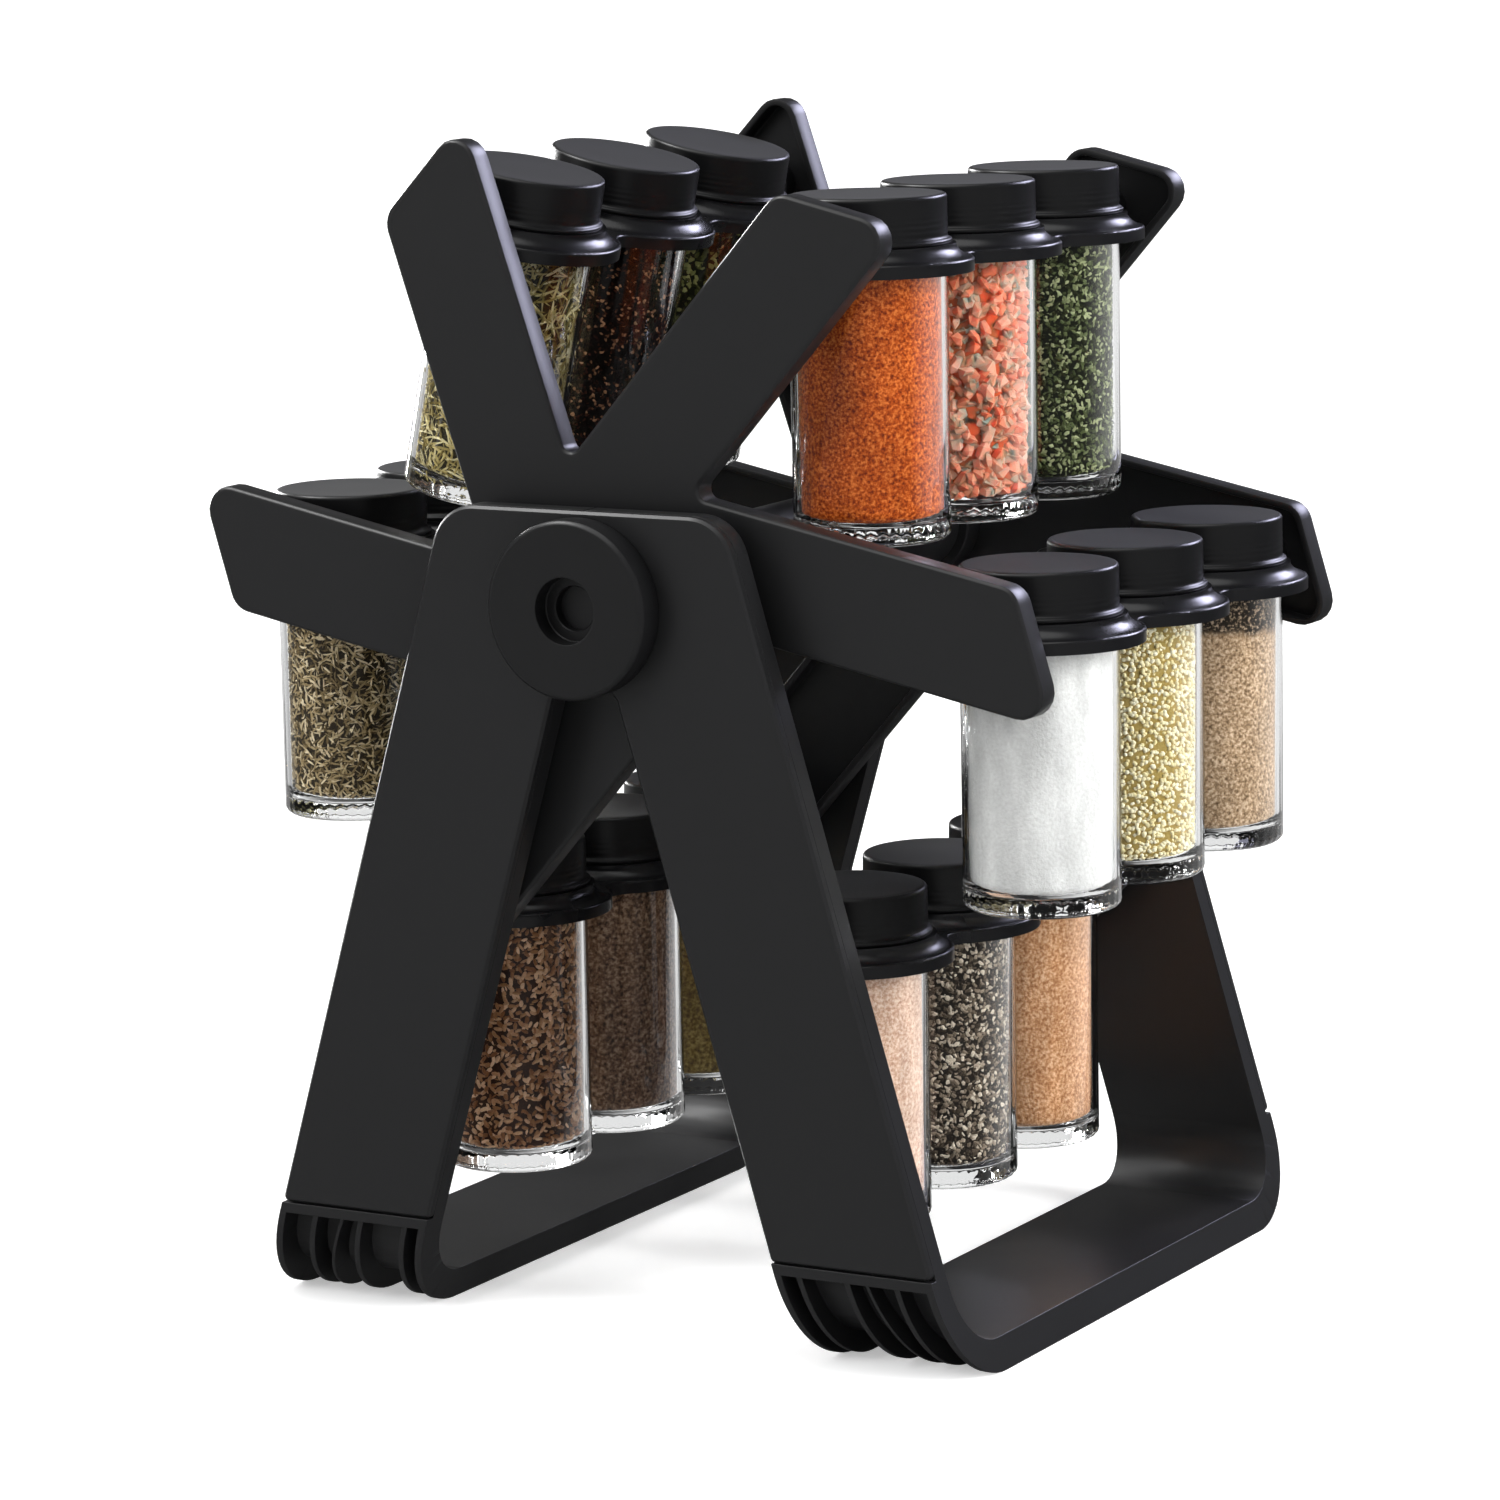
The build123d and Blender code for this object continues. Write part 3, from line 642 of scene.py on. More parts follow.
def grain_shapes(grain: Grain, rng: np.random.Generator) -> list:
    """A few unit shapes for one kind of grain.

    Args:
        grain: The kind.
        rng: The seeded source of chance.

    Returns:
        Surfaces about 1 long, 1 broad and 1 thick.
    """
    if grain is Grain.SEED:
        return [ball(5, 2, 0.8)]
    if grain is Grain.LONG_SEED:
        return [ball(5, 3, 0.85), ball(5, 3, 1.1)]
    if grain is Grain.NEEDLE:
        bends = np.array([-0.35, -0.1, 0.15, 0.4]) * 6
        needle = ball(3, 3, 0.6)
        bow = np.outer(needle.points[:, 0] ** 2, (0, 1, 0))
        return [Surface(needle.points + bend * bow, needle.faces) for bend in bends]
    rough, around = (0.5, 4) if grain is Grain.FLAKE else (0.4, 6)
    shapes = []
    for _ in range(7):
        lump = ball(around, 2, 0.7)
        shapes.append(Surface(lump.points * (1 + rough * rng.uniform(-1, 1, lump.points.shape)), lump.faces))
    return shapes


def scattered(shapes: list, spots: np.ndarray, outward: np.ndarray, sizes: np.ndarray, tilt: float,
              darkest: float, rng: np.random.Generator) -> tuple[Surface, np.ndarray]:
    """Copies of a few shapes, each lying flat on its spot with its own turn.

    A copy's axes are: along, at a random turn in the surface; across; and outward, all tipped a little.

    Args:
        shapes: Unit shapes, shared out in turn.
        spots: Where the copies' middles are, of shape (count, 3).
        outward: The way that each one's thin side faces.
        sizes: Length, breadth and thickness of each.
        tilt: How far they tip, as a share of their outward axis.
        darkest: The darkest grain's tone.
        rng: The seeded source of chance.

    Returns:
        The surface, and a tone from darkest to 1 for each of its points.
    """
    count = len(spots)
    up = outward + tilt * rng.normal(size=(count, 3))
    up /= np.linalg.norm(up, axis=1, keepdims=True)
    guide = rng.normal(size=(count, 3))
    along = guide - np.sum(guide * up, 1, keepdims=True) * up
    along /= np.linalg.norm(along, axis=1, keepdims=True)
    across = np.cross(up, along)
    axes = np.stack([along, across, up], 1) * sizes[:, :, None]
    tones = rng.uniform(darkest, 1, count)
    parts = []
    marks = []
    for n, shape in enumerate(shapes):
        mine = slice(n, count, len(shapes))
        copies = np.einsum("vi,cij->cvj", shape.points, axes[mine]) + spots[mine, None]
        number, size = copies.shape[:2]
        steps = (np.arange(number) * size)[:, None, None]
        faces = [(face[None] + steps).reshape(-1, face.shape[1]) for face in shape.faces]
        parts.append(Surface(copies.reshape(-1, 3), faces))
        marks.append(np.repeat(tones[mine], size))
    return joined(parts), np.concatenate(marks)


# ---------------------------------------------------------------- jars
@dataclass(frozen=True)
class Seat:
    """Where a jar stands: the pivot of its hanger, its depth along the hub axis, and its lean."""

    x: float
    z: float
    y: float
    lean: float

    def place(self, points: np.ndarray) -> np.ndarray:
        """Moves points drawn round the jar's axis, with the pivot at z = 0, to this seat.

        Args:
            points: Points of shape (count, 3).

        Returns:
            (x cos a + z sin a, y, z cos a - x sin a) of each, where a is the lean, plus the seat's place.
        """
        c, s = math.cos(self.lean), math.sin(self.lean)
        x, y, z = points.T
        return np.stack([x * c + z * s + self.x, y + self.y, z * c - x * s + self.z], -1)


def seat_of(row: str, number: int) -> Seat:
    """Reads a jar's seat from the frame.

    Args:
        row: The hanger's name.
        number: 1, 2 or 3, from the front.

    Returns:
        The seat.
    """
    x, _, z = JOINTS[f"hanger_level_{row}"]["pos_m"]
    low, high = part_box(f"jar_{row}_{number}")
    axis = JOINTS[f"jar_lift_{row}_{number}"]["axis"]
    return Seat(x, z, (low[1] + high[1]) / 2, math.atan2(axis[0], axis[2]))


@dataclass
class Jar:
    """A glass jar with a thick base, its screw cap, and the spice in it. Heights are from the pivot."""

    radius: float = 22.0 * MM
    wall: float = 1.8 * MM
    bottom: float = -79.9 * MM
    base: float = 5.0 * MM
    heel: float = 3.0 * MM
    shoulder: float = 3.2 * MM
    neck_base: float = 1.7 * MM
    mouth: float = 13.6 * MM
    thread: float = 1.0 * MM
    fill_gap: float = 0.25 * MM
    fill_top: float = 8.5 * MM
    cap_bottom: float = 2.3 * MM
    cap_top: float = 16.1 * MM
    cap_radius: float = 22.1 * MM
    cap_inner: float = 20.4 * MM
    lip_radius: float = 23.3 * MM
    lip_height: float = 1.5 * MM
    knurl_teeth: int = 40
    knurl_depth: float = 0.18 * MM
    segments: int = 160

    def outside(self) -> np.ndarray:
        """Profile of the glass's outside, from the middle of the underside to the mouth's outer edge."""
        neck = self.radius - self.shoulder
        foot = self.radius - self.heel
        start = self.neck_base - self.shoulder
        thread_z = self.neck_base + 6 * MM
        return np.concatenate([
            [(0, self.bottom + 1.1 * MM), (foot * 0.55, self.bottom + 0.9 * MM)],
            [(foot - 2.6 * MM, self.bottom + 0.55 * MM)],
            arc((foot - 1.2 * MM, self.bottom + 0.55 * MM), 0.55 * MM, 210, 285, 4),
            arc((foot, self.bottom + self.heel), self.heel, -78, 0, 9),
            [(self.radius, self.bottom + 9 * MM), (self.radius, -20 * MM)],
            arc((neck, start), self.shoulder, 0, 88, 8),
            [(neck, self.neck_base + 1 * MM), (neck, thread_z - 1.2 * MM)],
            arc((neck, thread_z), self.thread, -80, 80, 6),
            [(neck, self.mouth - 0.8 * MM)],
            arc((neck - 0.6 * MM, self.mouth - 0.6 * MM), 0.6 * MM, 0, 80, 4),
        ])

    def inside(self) -> np.ndarray:
        """Profile of the glass's inside, from the mouth's inner edge to the middle of the floor."""
        inner = self.radius - self.wall
        neck = inner - self.shoulder
        start = self.neck_base - self.shoulder
        floor = self.bottom + self.base
        bend = 4.2 * MM
        return np.concatenate([
            arc((neck + 0.6 * MM, self.mouth - 0.6 * MM), 0.6 * MM, 100, 180, 4),
            arc((neck, start), self.shoulder, 88, 0, 8),
            [(inner, -20 * MM)],
            arc((inner - bend, floor + bend), bend, 0, -84, 8),
            [(inner * 0.45, floor + 0.35 * MM), (0, floor + 0.6 * MM)],
        ])

    def glass(self) -> Surface:
        """The jar's glass: one closed shell, with fine teeth round its heel.

        The teeth change the radius by depth * cos(teeth * a), fading out above and below the heel.
        """
        def teeth(profile: np.ndarray, angle: np.ndarray) -> np.ndarray:
            """How far the heel stands out: strength(profile) * cos(teeth * angle)."""
            rise = (profile[:, 1] - self.bottom - 1.6 * MM) / (1.3 * MM)
            outer = profile[:, 0] > self.radius - 3.2 * MM
            strength = np.exp(-rise ** 2) * outer * self.knurl_depth
            return strength[:, None] * np.cos(self.knurl_teeth * angle)
        return turned(np.concatenate([self.outside(), self.inside()]), self.segments, teeth)

    def cap(self) -> Surface:
        """The screw cap: flat top with a soft edge, faint rings on its side, a groove and a small lip."""
        r = self.cap_radius
        side = np.linspace(self.cap_bottom + 3.1 * MM, self.cap_top - 1.4 * MM, 26)
        share = (side - side[0]) / (side[-1] - side[0])
        rings = 0.045 * MM * np.sin(share * 6 * 2 * np.pi) * np.clip(1.35 - share * 1.9, 0, 1)
        lip_z = self.cap_bottom + self.lip_height / 2
        return turned(np.concatenate([
            [(0, self.mouth), (self.cap_inner - 0.4 * MM, self.mouth)],
            [(self.cap_inner, self.mouth - 0.4 * MM), (self.cap_inner, self.cap_bottom + 0.2 * MM)],
            [(self.cap_inner + 0.2 * MM, self.cap_bottom)],
            [(self.lip_radius - 0.9 * MM, self.cap_bottom)],
            arc((self.lip_radius - self.lip_height / 2, lip_z), self.lip_height / 2, -75, 80, 7),
            [(r + 0.35 * MM, self.cap_bottom + 1.62 * MM), (r - 0.05 * MM, self.cap_bottom + 1.95 * MM)],
            [(r - 0.1 * MM, self.cap_bottom + 2.6 * MM)],
            np.stack([r - 0.12 * MM * share + rings, side], -1),
            arc((r - 1.22 * MM, self.cap_top - 1.15 * MM), 1.1 * MM, 0, 84, 8),
            [(r - 2.4 * MM, self.cap_top - 0.03 * MM), (r - 4 * MM, self.cap_top - 0.12 * MM)],
            [(r * 0.4, self.cap_top - 0.16 * MM), (0, self.cap_top - 0.16 * MM)],
        ]), 112)

    def core(self, gap: float) -> tuple[Surface, np.ndarray]:
        """The body of spice in the jar, drawn inside the glass by gap.

        Args:
            gap: How far inside the glass it ends.

        Returns:
            The surface, and the height of each point in millimetres.
        """
        inner = self.radius - self.wall - gap
        floor = self.bottom + self.base + 0.25 * MM + gap / 3
        neck = inner - self.shoulder
        start = self.neck_base - self.shoulder
        bend = 4 * MM
        shape = turned(np.concatenate([
            [(0, floor + 0.6 * MM), (inner * 0.5, floor + 0.35 * MM)],
            arc((inner - bend, floor + bend), bend, -84, 0, 7),
            np.stack([np.full(24, inner), np.linspace(floor + 6 * MM, start - 1 * MM, 24)], -1),
            arc((neck, start), self.shoulder, 0, 88, 6),
            [(neck, self.fill_top - 1 * MM), (neck - 1.5 * MM, self.fill_top), (0, self.fill_top + 0.6 * MM)],
        ]), 72)
        return shape, shape.points[:, 2] / MM

    def grains(self, spice: Spice, rng: np.random.Generator) -> tuple[Surface, np.ndarray]:
        """The grains that lie against the glass, all round the wall and over the floor.

        Args:
            spice: What they are.
            rng: The seeded source of chance.

        Returns:
            The surface, and each point's tone.
        """
        size = np.array([spice.length, spice.breadth, spice.thickness]) * MM
        inner = self.radius - self.wall - self.fill_gap
        floor = self.bottom + self.base + 0.6 * MM
        step = math.sqrt(size[0] * size[1] / spice.cover)
        high = -1 * MM
        bend = 4 * MM
        along = np.arange(0, 2 * np.pi * inner, step)
        up = np.arange(floor + size[2] * 0.7, high, step * 0.87)
        turn, level = np.meshgrid(along, up, indexing="ij")
        turn = (turn + (np.arange(len(up)) % 2) * step / 2).ravel()
        turn = (turn + rng.uniform(-0.45, 0.45, turn.size) * step) / inner
        level = (level.ravel() + rng.uniform(-0.45, 0.45, turn.size) * step).clip(floor + size[2] * 0.6)
        # a grain lies just inside the glass, or up to its own thickness deeper, and keeps inside the bend
        sunk = size[2] * (0.6 + 0.9 * rng.uniform(0, 1, turn.size) ** 1.5)
        drop = np.clip(floor + bend - level, 0, bend)
        reach = inner - sunk - (bend - np.sqrt(bend ** 2 - drop ** 2))
        wall = np.stack([reach * np.cos(turn), reach * np.sin(turn), level], -1)
        outward = np.stack([np.cos(turn), np.sin(turn), -drop / bend], -1)
        grid = np.arange(-inner, inner, step)
        x, y = (part.ravel() + rng.uniform(-0.4, 0.4, grid.size ** 2) * step
                for part in np.meshgrid(grid, grid))
        kept = np.hypot(x, y) < inner - bend
        lift = floor + size[2] * (0.62 + rng.uniform(0, 1, kept.sum()))
        flat = np.stack([x[kept], y[kept], lift], -1)
        down = np.tile((0.0, 0.0, -1.0), (len(flat), 1))
        spots = np.concatenate([wall, flat])
        sizes = size * rng.uniform(0.75, 1.15, (len(spots), 3))
        return scattered(grain_shapes(spice.grain, rng), spots, np.concatenate([outward, down]), sizes,
                         0.16 if spice.grain is not Grain.CRYSTAL else 0.6, spice.darkest, rng)

    def build(self, row: str, number: int, spice: Spice, glass: bpy.types.Material,
              plastic: bpy.types.Material, stuff: bpy.types.Material) -> None:
        """Makes one jar with its cap and its spice.

        Args:
            row: The hanger's name.
            number: 1, 2 or 3, from the front.
            spice: What is in the jar.
            glass: The jar's material.
            plastic: The cap's material.
            stuff: The spice's material.
        """
        seat = seat_of(row, number)
        tag = f"{row}_{number}"
        rng = np.random.default_rng(sum(map(ord, tag)))
        make_piece(f"glass_{tag}", self.glass().moved(seat.place), glass, f"jar_{tag}",
                   (f"jar_{tag}",), 40.0)
        cap = self.cap()
        # the flat top inside the soft edge is matt, and its paler colour is painted light from above
        inside = np.hypot(*cap.points.T[:2]) < self.cap_radius - 1.0 * MM
        matt = inside & (cap.points[:, 2] > self.mouth + MM)
        make_piece(f"screw_cap_{tag}", cap.moved(seat.place), plastic, f"cap_{tag}",
                   (f"cap_{tag}",), 50.0, matt.astype(float))
        powder = spice.grain is Grain.POWDER
        body, height = self.core(self.fill_gap + (0 if powder else 0.75 * spice.thickness * MM))
        if powder:
            surface, tone = body, height
        else:
            loose, shades = self.grains(spice, rng)
            surface = joined([body, loose])
            # the core seen in the gaps between grains takes the tone 0, the darkest colour, as painted shade
            tone = np.concatenate([np.full(len(body.points), 0.0), shades])
        crease = None if spice.grain in (Grain.FLAKE, Grain.CRYSTAL) else 80.0
        make_piece(f"spice_{tag}", surface.moved(seat.place), stuff, f"jar_{tag}", (), crease, tone)


# ---------------------------------------------------------------- wheels and hubs
@dataclass
class Wheel:
    """A six-armed tray, open towards the jars, with a hub boss and a bush at the tip of each arm."""

    arms: int = 6
    phase: float = -11.5
    width: float = 34.5 * MM
    length: float = 140.0 * MM
    slant: float = 28.0
    tip_radius: float = 7.0 * MM
    notch_radius: float = 3.0 * MM
    face: float = 96.0 * MM
    back: float = 88.0 * MM
    skin: float = 2.0 * MM
    wall: float = 2.0 * MM
    bevel: float = 0.8 * MM
    boss_radius: float = 7.48 * MM
    bore_radius: float = 4.08 * MM
    hub_radius: float = 18.0 * MM
    hub_stands: float = 2.0 * MM

    def corners(self) -> np.ndarray:
        """The pinwheel's corners about the hub axis, anticlockwise, three for each arm.

        In the arm's own axes they are (length, 0), (length - width tan slant, width), and the notch, where
        this arm's far side meets the next arm's straight side: (width / tan step, width).
        """
        step = 2 * np.pi / self.arms
        tip = self.length - self.width * math.tan(math.radians(self.slant))
        along = np.array([self.length, tip, self.width / math.tan(step)])
        across = np.array([0, self.width, self.width])
        turn = (np.radians(self.phase) + np.arange(self.arms) * step)[:, None]
        x = along * np.cos(turn) - across * np.sin(turn)
        z = along * np.sin(turn) + across * np.cos(turn)
        return np.stack([x, z], -1).reshape(-1, 2)

    def outline(self, inset: float) -> np.ndarray:
        """The wheel's outline in the hub's plane, inside itself by inset."""
        radii = np.tile([self.tip_radius, self.tip_radius, self.notch_radius], self.arms)
        return rounded_outline(self.corners(), radii, inset) + (0, self.hub_z)

    @property
    def hub_z(self) -> float:
        """Height of the hub axis."""
        return JOINTS["carousel_spin"]["pos_m"][2]

    def ring(self, outer: float, bore: float, low: float, high: float) -> Surface:
        """A bush with soft edges, closed at its low end, which stands from low to high towards the jars."""
        soft = 0.35 * MM
        return turned(np.array([
            (0, low), (outer, low), (outer, high - soft), (outer - soft, high), (bore + soft, high),
            (bore, high - soft), (bore, low + 0.1 * MM), (0, low + 0.1 * MM)]), 64)

    def shape(self) -> Surface:
        """The front wheel."""
        face, back = -self.face, -self.back
        floor = -self.face + self.skin
        b = self.bevel
        profile = [
            (b + 1.0 * MM, face), (b + 0.15 * MM, face), (b - 0.1 * MM, face + 0.05 * MM),
            (0.05 * MM, face + b - 0.1 * MM), (0, face + b + 0.15 * MM), (0, back - 0.4 * MM),
            (0.12 * MM, back - 0.12 * MM), (0.4 * MM, back), (self.wall - 0.4 * MM, back),
            (self.wall - 0.12 * MM, back - 0.12 * MM), (self.wall, back - 0.4 * MM),
            (self.wall, floor + 0.5 * MM), (self.wall + 0.15 * MM, floor + 0.15 * MM),
            (self.wall + 0.5 * MM, floor), (self.wall + 1.0 * MM, floor),
        ]
        parts = [plate(self.outline, profile)]
        depth = self.face - self.skin
        hub = self.ring(self.hub_radius, 8.2 * MM, -depth, self.hub_stands - self.back)
        collar = self.ring(16 * MM, 12.1 * MM, self.face, self.face + 1.8 * MM)
        parts.append(facing_front(collar, 0, self.hub_z))
        back_face = [(hub, 0.0, self.hub_z)]
        for row in SHELF:
            x, _, z = JOINTS[f"hanger_level_{row}"]["pos_m"]
            back_face.append((self.ring(self.boss_radius, self.bore_radius, -depth, -self.back), x, z))
        for bush, x, z in back_face:
            parts.append(bush.moved(lambda p, x=x, z=z: np.stack([p[:, 0] + x, p[:, 2], z - p[:, 1]], -1)))
        return joined(parts)

    def build(self, plastic: bpy.types.Material) -> None:
        """Makes both wheels."""
        front = self.shape()
        make_piece("pinwheel_front", front, plastic, "carousel", ("wheel_front",))
        make_piece("pinwheel_rear", front.mirrored(), plastic, "carousel", ("wheel_rear",))


@dataclass
class Hub:
    """The disc at each end of the hub axis, with its stepped recess, its shaft and its screw."""

    radius: float = 25.0 * MM
    face: float = 120.0 * MM
    back: float = 111.2 * MM
    bevel: float = 1.0 * MM
    recess: float = 9.3 * MM
    recess_depth: float = 5.7 * MM
    well: float = 6.2 * MM
    seat: float = 90.0 * MM
    shaft: float = 12.0 * MM
    shaft_end: float = 88.0 * MM
    head: float = 5.4 * MM
    head_height: float = 3.4 * MM
    slot: float = 0.75 * MM

    def disc(self) -> Surface:
        """The hub: (r, depth) turned round the hub axis, from its inner end to the floor of its well."""
        soft = 0.3 * MM
        step = self.face - self.recess_depth
        return turned(np.array([
            (0, self.shaft_end), (self.shaft, self.shaft_end), (self.shaft, self.back),
            (self.radius - soft, self.back), (self.radius, self.back + soft),
            (self.radius, self.face - self.bevel - 0.15 * MM),
            (self.radius - 0.08 * MM, self.face - self.bevel + 0.1 * MM),
            (self.radius - self.bevel + 0.1 * MM, self.face - 0.08 * MM),
            (self.radius - self.bevel - 0.2 * MM, self.face),
            (self.radius - self.bevel - 0.6 * MM, self.face),
            (self.recess + 0.7 * MM, self.face),
            (self.recess + soft, self.face), (self.recess + 0.08 * MM, self.face - 0.08 * MM),
            (self.recess, self.face - soft), (self.recess, step + soft), (self.recess - soft, step),
            (self.well + soft, step), (self.well, step - soft), (self.well, self.seat),
            (0, self.seat)]), 160)

    def screw(self) -> Surface:
        """The screw's head, seen down the well: a low dome with a cross-shaped slot.

        Height = rim + dome * (1 - s^2) - slot depth where |x| or |z| is under the slot's half width.
        """
        share = np.linspace(0, 1, 21)[1:]
        angle = np.arange(64) * 2 * np.pi / 64
        x = self.head * np.outer(share, np.cos(angle))
        y = self.head * np.outer(share, np.sin(angle))
        near = np.minimum(np.abs(x), np.abs(y))
        cut = 1 / (1 + np.exp((near - self.slot) / (0.06 * MM)))
        reach = 1 / (1 + np.exp((np.hypot(x, y) - 3.4 * MM) / (0.1 * MM)))
        base = self.seat + self.head_height
        height = base - 0.9 * MM * (share ** 2)[:, None] - 1.8 * MM * cut * reach
        top = np.stack([x, y, height], -1)[::-1]
        foot = top[:1] * (1, 1, 0) + (0, 0, self.seat)
        rings = np.concatenate([foot, top]).reshape(-1, 3)
        count = len(rings)
        points = np.concatenate([rings, [(0, 0, self.seat), (0, 0, base - 1.8 * MM)]])
        step = np.arange(64)
        after = (step + 1) % 64
        last = count - 64
        bottom = np.stack([np.full(64, count), after, step], -1)
        middle = np.stack([np.full(64, count + 1), last + step, last + after], -1)
        return Surface(points, [ring_faces(count // 64, 64), bottom, middle])

    def build(self, plastic: bpy.types.Material, cover: bpy.types.Material,
              steel: bpy.types.Material) -> None:
        """Makes both hubs, their screws and the dress of the tube between the wheels."""
        axis = JOINTS["carousel_spin"]["pos_m"][2]
        disc = facing_front(self.disc(), 0, axis)
        make_piece("hub_disc_front", disc, cover, "carousel", ("hub_front",))
        make_piece("hub_disc_rear", disc.mirrored(), cover, "carousel", ("hub_rear",))
        head = facing_front(self.screw(), 0, axis)
        make_piece("hub_screw_heads", joined([head, head.mirrored()]), steel, "carousel",
                   ("hub_screws",))
        dress("centre_tube", plastic)


# ---------------------------------------------------------------- stand
@dataclass
class Stand:
    """The A-shaped leg covers and the two bent base frames."""

    hub: float = 210.0 * MM
    foot_outer: float = 115.0 * MM
    leg_width: float = 50.0 * MM
    lean: float = 0.296
    top: float = 236.5 * MM
    crotch: float = 186.5 * MM
    seam: float = 30.3 * MM
    face: float = 111.0 * MM
    back: float = 108.0 * MM
    bevel: float = 0.9 * MM
    boss: float = 17.0 * MM
    boss_end: float = 98.0 * MM

    def outline(self, inset: float) -> np.ndarray:
        """Outline of a leg cover, a head with two legs, inside itself by inset."""
        outer = lambda z: self.foot_outer - self.lean * z
        inner = lambda z: outer(z) - self.leg_width
        right = [(inner(self.crotch), self.crotch), (inner(self.seam), self.seam),
                 (outer(self.seam), self.seam), (outer(self.top), self.top)]
        left = [(-x, z) for x, z in right[::-1]]
        radii = np.array([4.0, 1.6, 1.6, 14.0, 14.0, 1.6, 1.6, 4.0]) * MM
        return rounded_outline(np.array(right + left), radii, inset, 9)

    def cover(self) -> Surface:
        """The front leg cover, with the bearing boss behind it."""
        face, back, b = -self.face, -self.back, self.bevel
        panel = plate(self.outline, [
            (b + 0.6 * MM, face), (b + 0.15 * MM, face), (b - 0.08 * MM, face + 0.04 * MM),
            (0.04 * MM, face + b - 0.08 * MM), (0, face + b + 0.15 * MM), (0, back - 0.2 * MM),
            (0.2 * MM, back), (1.4 * MM, back)])
        boss = turned(np.array([
            (0, self.boss_end), (self.boss, self.boss_end), (self.boss, self.back + 0.5 * MM),
            (0, self.back + 0.5 * MM)]), 72)
        return joined([panel, facing_front(boss, 0, self.hub)])

    def build(self, plastic: bpy.types.Material) -> None:
        """Makes both leg covers and dresses the base frames."""
        cover = self.cover()
        make_piece("a_cover_front", cover, plastic, "stand", ("leg_cover_front",))
        make_piece("a_cover_rear", cover.mirrored(), plastic, "stand", ("leg_cover_rear",))
        for side in ("right", "left"):
            dress(f"base_frame_{side}", plastic, 0.35 * MM)


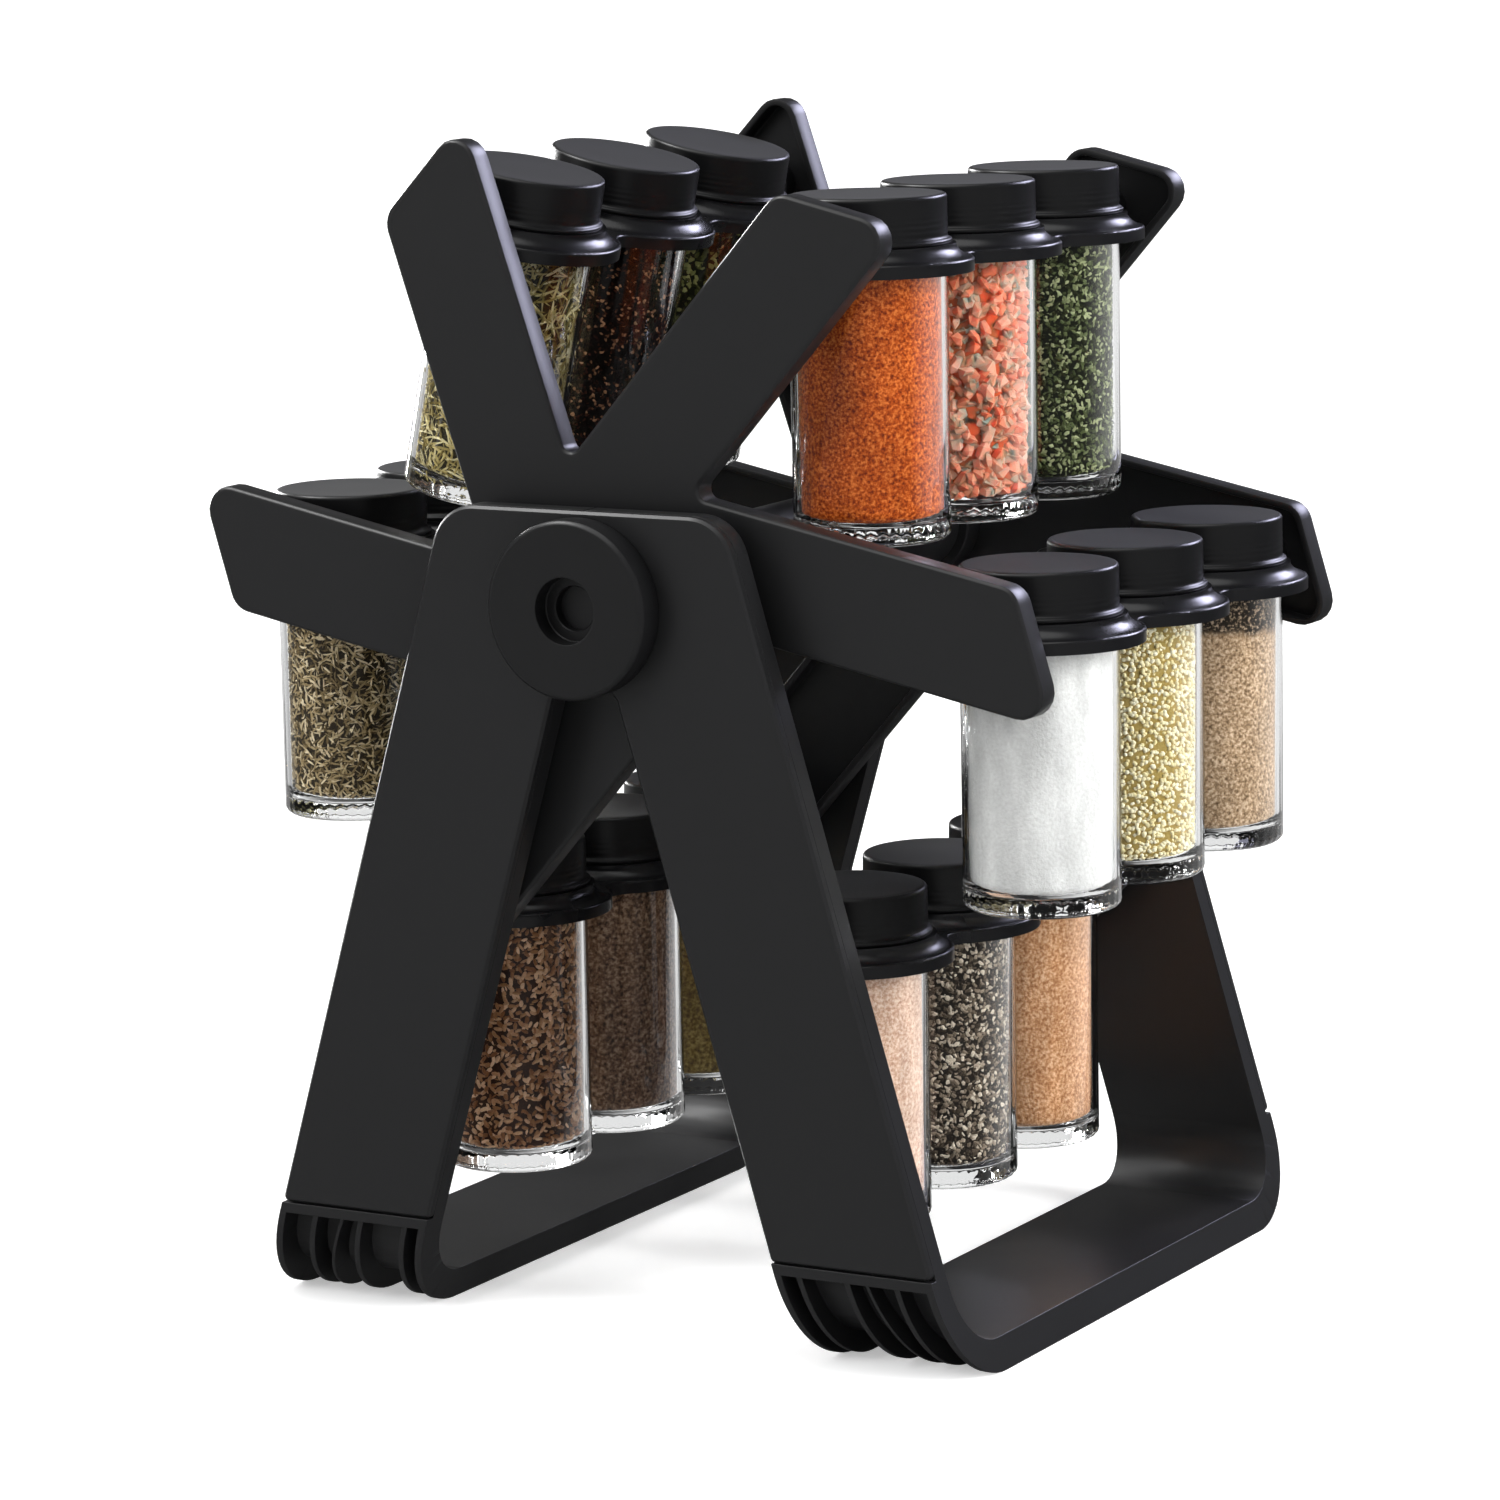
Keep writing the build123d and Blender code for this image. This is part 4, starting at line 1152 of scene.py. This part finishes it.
# ---------------------------------------------------------------- studio
@dataclass
class Studio:
    """A pale floor that runs to a far horizon, soft boxes, and the camera."""

    azimuth: float = 29.66
    elevation: float = 9.80
    roll: float = -1.1
    distance: float = 1.7135
    lens: float = 139.75
    surround: float = 0.30  # how bright the room's front looks from satin surfaces
    surround_rear: float = 0.07
    mirrored: float = 0.07  # how bright the room's front looks in polished glass
    mirrored_rear: float = 0.85
    target: tuple = (-0.0105, 0.0, 0.1516)

    def camera(self) -> None:
        """Sets up the camera, level but for a slight roll."""
        a, e = math.radians(self.azimuth), math.radians(self.elevation)
        away = Vector((math.sin(a) * math.cos(e), -math.cos(a) * math.cos(e), math.sin(e)))
        data = bpy.data.cameras.new("camera")
        data.lens = self.lens
        data.sensor_width = 36.0
        camera = bpy.data.objects.new("camera", data)
        camera.location = Vector(self.target) + away * self.distance
        turn = away.to_track_quat("Z", "Y").to_euler()
        camera.rotation_euler = turn
        camera.rotation_euler.rotate_axis("Z", math.radians(self.roll))
        bpy.context.collection.objects.link(camera)
        bpy.context.scene.camera = camera

    def softbox(self, name: str, place: tuple, size: tuple, power: float, colour: str,
                sheen: bool) -> None:
        """Adds a soft box that faces the object.

        Args:
            name: The lamp's name.
            place: Where it stands.
            size: Width and height.
            power: Watts.
            colour: Its sRGB colour.
            sheen: True for a lamp that only shows in reflections, False for one that only lights.
        """
        data = bpy.data.lights.new(name, "AREA")
        data.shape = "RECTANGLE"
        data.size, data.size_y = size
        data.energy = power
        data.color = linear(colour)[:3]
        lamp = bpy.data.objects.new(name, data)
        lamp.visible_camera = False
        lamp.visible_glossy = sheen
        lamp.visible_transmission = sheen
        lamp.visible_diffuse = not sheen
        lamp.location = place
        lamp.rotation_euler = (Vector(place) - Vector((0, 0, 0.2))).to_track_quat("Z", "Y").to_euler()
        bpy.context.collection.objects.link(lamp)

    def floor(self) -> None:
        """Adds the matt white floor, wide enough to fill the view, with a glow that grows far out.

        The glow isn't there for light that has met a matt surface, and light that has bounced inside a
        jar's glass passes the floor, so that the jars show their spice and not a white floor.
        """
        material, tree = new_material("matt_white_paper")
        place = add_node(tree, "ShaderNodeTexCoord").outputs["Object"]
        fibre = add_node(tree, "ShaderNodeTexNoise", {"Vector": place, "Scale": 1 / (4 * MM), "Detail": 3.0})
        bump = add_node(tree, "ShaderNodeBump", {
            "Height": fibre.outputs["Fac"], "Distance": 0.05 * MM, "Strength": 0.2})
        away = add_node(tree, "ShaderNodeVectorMath", {0: place}, operation="LENGTH").outputs["Value"]
        lit = add_node(tree, "ShaderNodeMapRange", {
            "Value": away, "From Min": 0.5, "From Max": 3.0, "To Min": 0.42, "To Max": 0.7})
        path = add_node(tree, "ShaderNodeLightPath")
        straight = add_node(tree, "ShaderNodeMapRange", {
            "Value": path.outputs["Diffuse Depth"], "To Min": 1.0, "To Max": 0.0})
        glow = add_node(tree, "ShaderNodeMath", {
            0: lit.outputs["Result"], 1: straight.outputs["Result"]}, operation="MULTIPLY")
        shader = add_node(tree, "ShaderNodeBsdfPrincipled", {
            "Base Color": linear("#FBFBFB"), "Roughness": 0.9, "Specular IOR Level": 0.1,
            "Emission Color": linear("#FFFFFF"), "Emission Strength": glow.outputs[0],
            "Normal": bump.outputs["Normal"]})
        clear = add_node(tree, "ShaderNodeBsdfTransparent", {"Color": linear("#FFFFFF")})
        mix = add_node(tree, "ShaderNodeMixShader", {
            0: path.outputs["Glossy Depth"], 1: shader.outputs["BSDF"], 2: clear.outputs["BSDF"]})
        add_node(tree, "ShaderNodeOutputMaterial", {"Surface": mix.outputs["Shader"]})
        grid = np.linspace(-14, 14, 9)
        x, y = np.meshgrid(grid, grid, indexing="ij")
        mesh = bpy.data.meshes.new("floor")
        points = np.stack([x, y, 0 * x], -1).reshape(-1, 3)
        corner = (np.arange(8)[:, None] * 9 + np.arange(8)).reshape(-1, 1)
        mesh.from_pydata(points.tolist(), [], (corner + [0, 9, 10, 1]).tolist())
        mesh.materials.append(material)
        floor = bpy.data.objects.new("floor", mesh)
        floor.visible_glossy = False
        bpy.context.collection.objects.link(floor)

    def build(self) -> None:
        """Sets the whole studio up."""
        scene = bpy.context.scene
        scene.view_settings.view_transform = "Standard"
        world = bpy.data.worlds.new("studio")
        world.use_nodes = True
        tree = world.node_tree
        tree.nodes.clear()
        path = add_node(tree, "ShaderNodeLightPath")
        bounces = add_node(tree, "ShaderNodeMath", {
            0: path.outputs["Diffuse Depth"], 1: path.outputs["Glossy Depth"]}, operation="ADD")
        unlit = add_node(tree, "ShaderNodeMapRange", {
            "Value": bounces.outputs[0], "To Min": 1.0, "To Max": 0.0})
        through = add_node(tree, "ShaderNodeMath", {
            0: path.outputs["Is Transmission Ray"], 1: unlit.outputs["Result"]}, operation="MULTIPLY")
        seen = add_node(tree, "ShaderNodeMath", {
            0: path.outputs["Is Camera Ray"], 1: through.outputs[0]}, operation="MAXIMUM")
        side = add_node(tree, "ShaderNodeSeparateXYZ", {
            "Vector": add_node(tree, "ShaderNodeTexCoord").outputs["Generated"]})
        satin = add_node(tree, "ShaderNodeMapRange", {
            "Value": side.outputs["Y"], "From Min": -0.7, "From Max": 0.5,
            "To Min": self.surround, "To Max": self.surround_rear})
        polished = add_node(tree, "ShaderNodeMapRange", {
            "Value": side.outputs["Y"], "From Min": 0.0, "From Max": 0.6,
            "To Min": self.mirrored, "To Max": self.mirrored_rear})
        room = add_node(tree, "ShaderNodeMapRange", {
            "Value": path.outputs["Is Singular Ray"], "To Min": satin.outputs["Result"],
            "To Max": polished.outputs["Result"]})
        level = add_node(tree, "ShaderNodeMapRange", {
            "Value": seen.outputs[0], "To Min": room.outputs["Result"], "To Max": 1.0})
        sky = add_node(tree, "ShaderNodeBackground", {"Color": linear("#FFFFFF"),
                                                      "Strength": level.outputs["Result"]})
        add_node(tree, "ShaderNodeOutputWorld", {"Surface": sky.outputs["Background"]})
        scene.world = world
        self.camera()
        self.floor()
        sun = bpy.data.lights.new("overhead", "SUN")
        sun.energy = 1.7
        sun.angle = math.radians(75)
        lamp = bpy.data.objects.new("overhead", sun)
        lamp.rotation_euler = Vector((-0.3, -0.25, 1.0)).to_track_quat("Z", "Y").to_euler()
        bpy.context.collection.objects.link(lamp)
        self.softbox("front_fill", (-1.3, -2.1, 1.3), (1.2, 1.2), 34, "#FFFFFF", False)
        self.softbox("right_fill", (2.2, 0.2, 1.0), (0.9, 1.4), 84, "#FFFFFF", False)
        self.softbox("front_strip", (-1.9, -1.7, 0.7), (0.35, 1.3), 1.6, "#FFFFFF", True)
        self.softbox("rear_right", (0.75, 2.2, 1.4), (1.5, 0.7), 55, "#E2E2FF", True)
        self.softbox("rear_left", (-2.3, 1.3, 0.62), (0.5, 1.2), 80, "#FFFFFF", True)
        self.softbox("high_left", (-1.1, -0.4, 1.9), (0.9, 0.5), 20, "#FFFFFF", True)


def main() -> None:
    """Builds every piece of the carousel, and the studio round it."""
    logging.basicConfig(level=logging.INFO, format="%(name)s: %(message)s")
    body = MouldedAbs("moulded_abs_satin").build()
    # the caps' tops are matt, and paler as painted light
    caps = MouldedAbs("moulded_polypropylene_cap", "#0D0D0E", 0.34, 0.04, 0.42, "#1E1E1F", 0.7).build()
    rings = MouldedAbs("moulded_polypropylene_gloss", "#0D0D0F", 0.28, 0.04, 0.5).build()
    hub = MouldedAbs("moulded_abs_hub", "#121213").build()
    steel = ZincSteel("zinc_plated_steel").build()
    glass = PressedGlass("pressed_soda_lime_glass").build()
    Studio().build()
    Stand().build(body)
    Wheel().build(body)
    Hub().build(body, hub, steel)
    jar = Jar()
    for row, spices in SHELF.items():
        dress(f"hanger_{row}", rings)
        for number, spice in enumerate(spices, 1):
            jar.build(row, number, spice, glass, caps, spice.build())


if __name__ == "__main__":
    main()
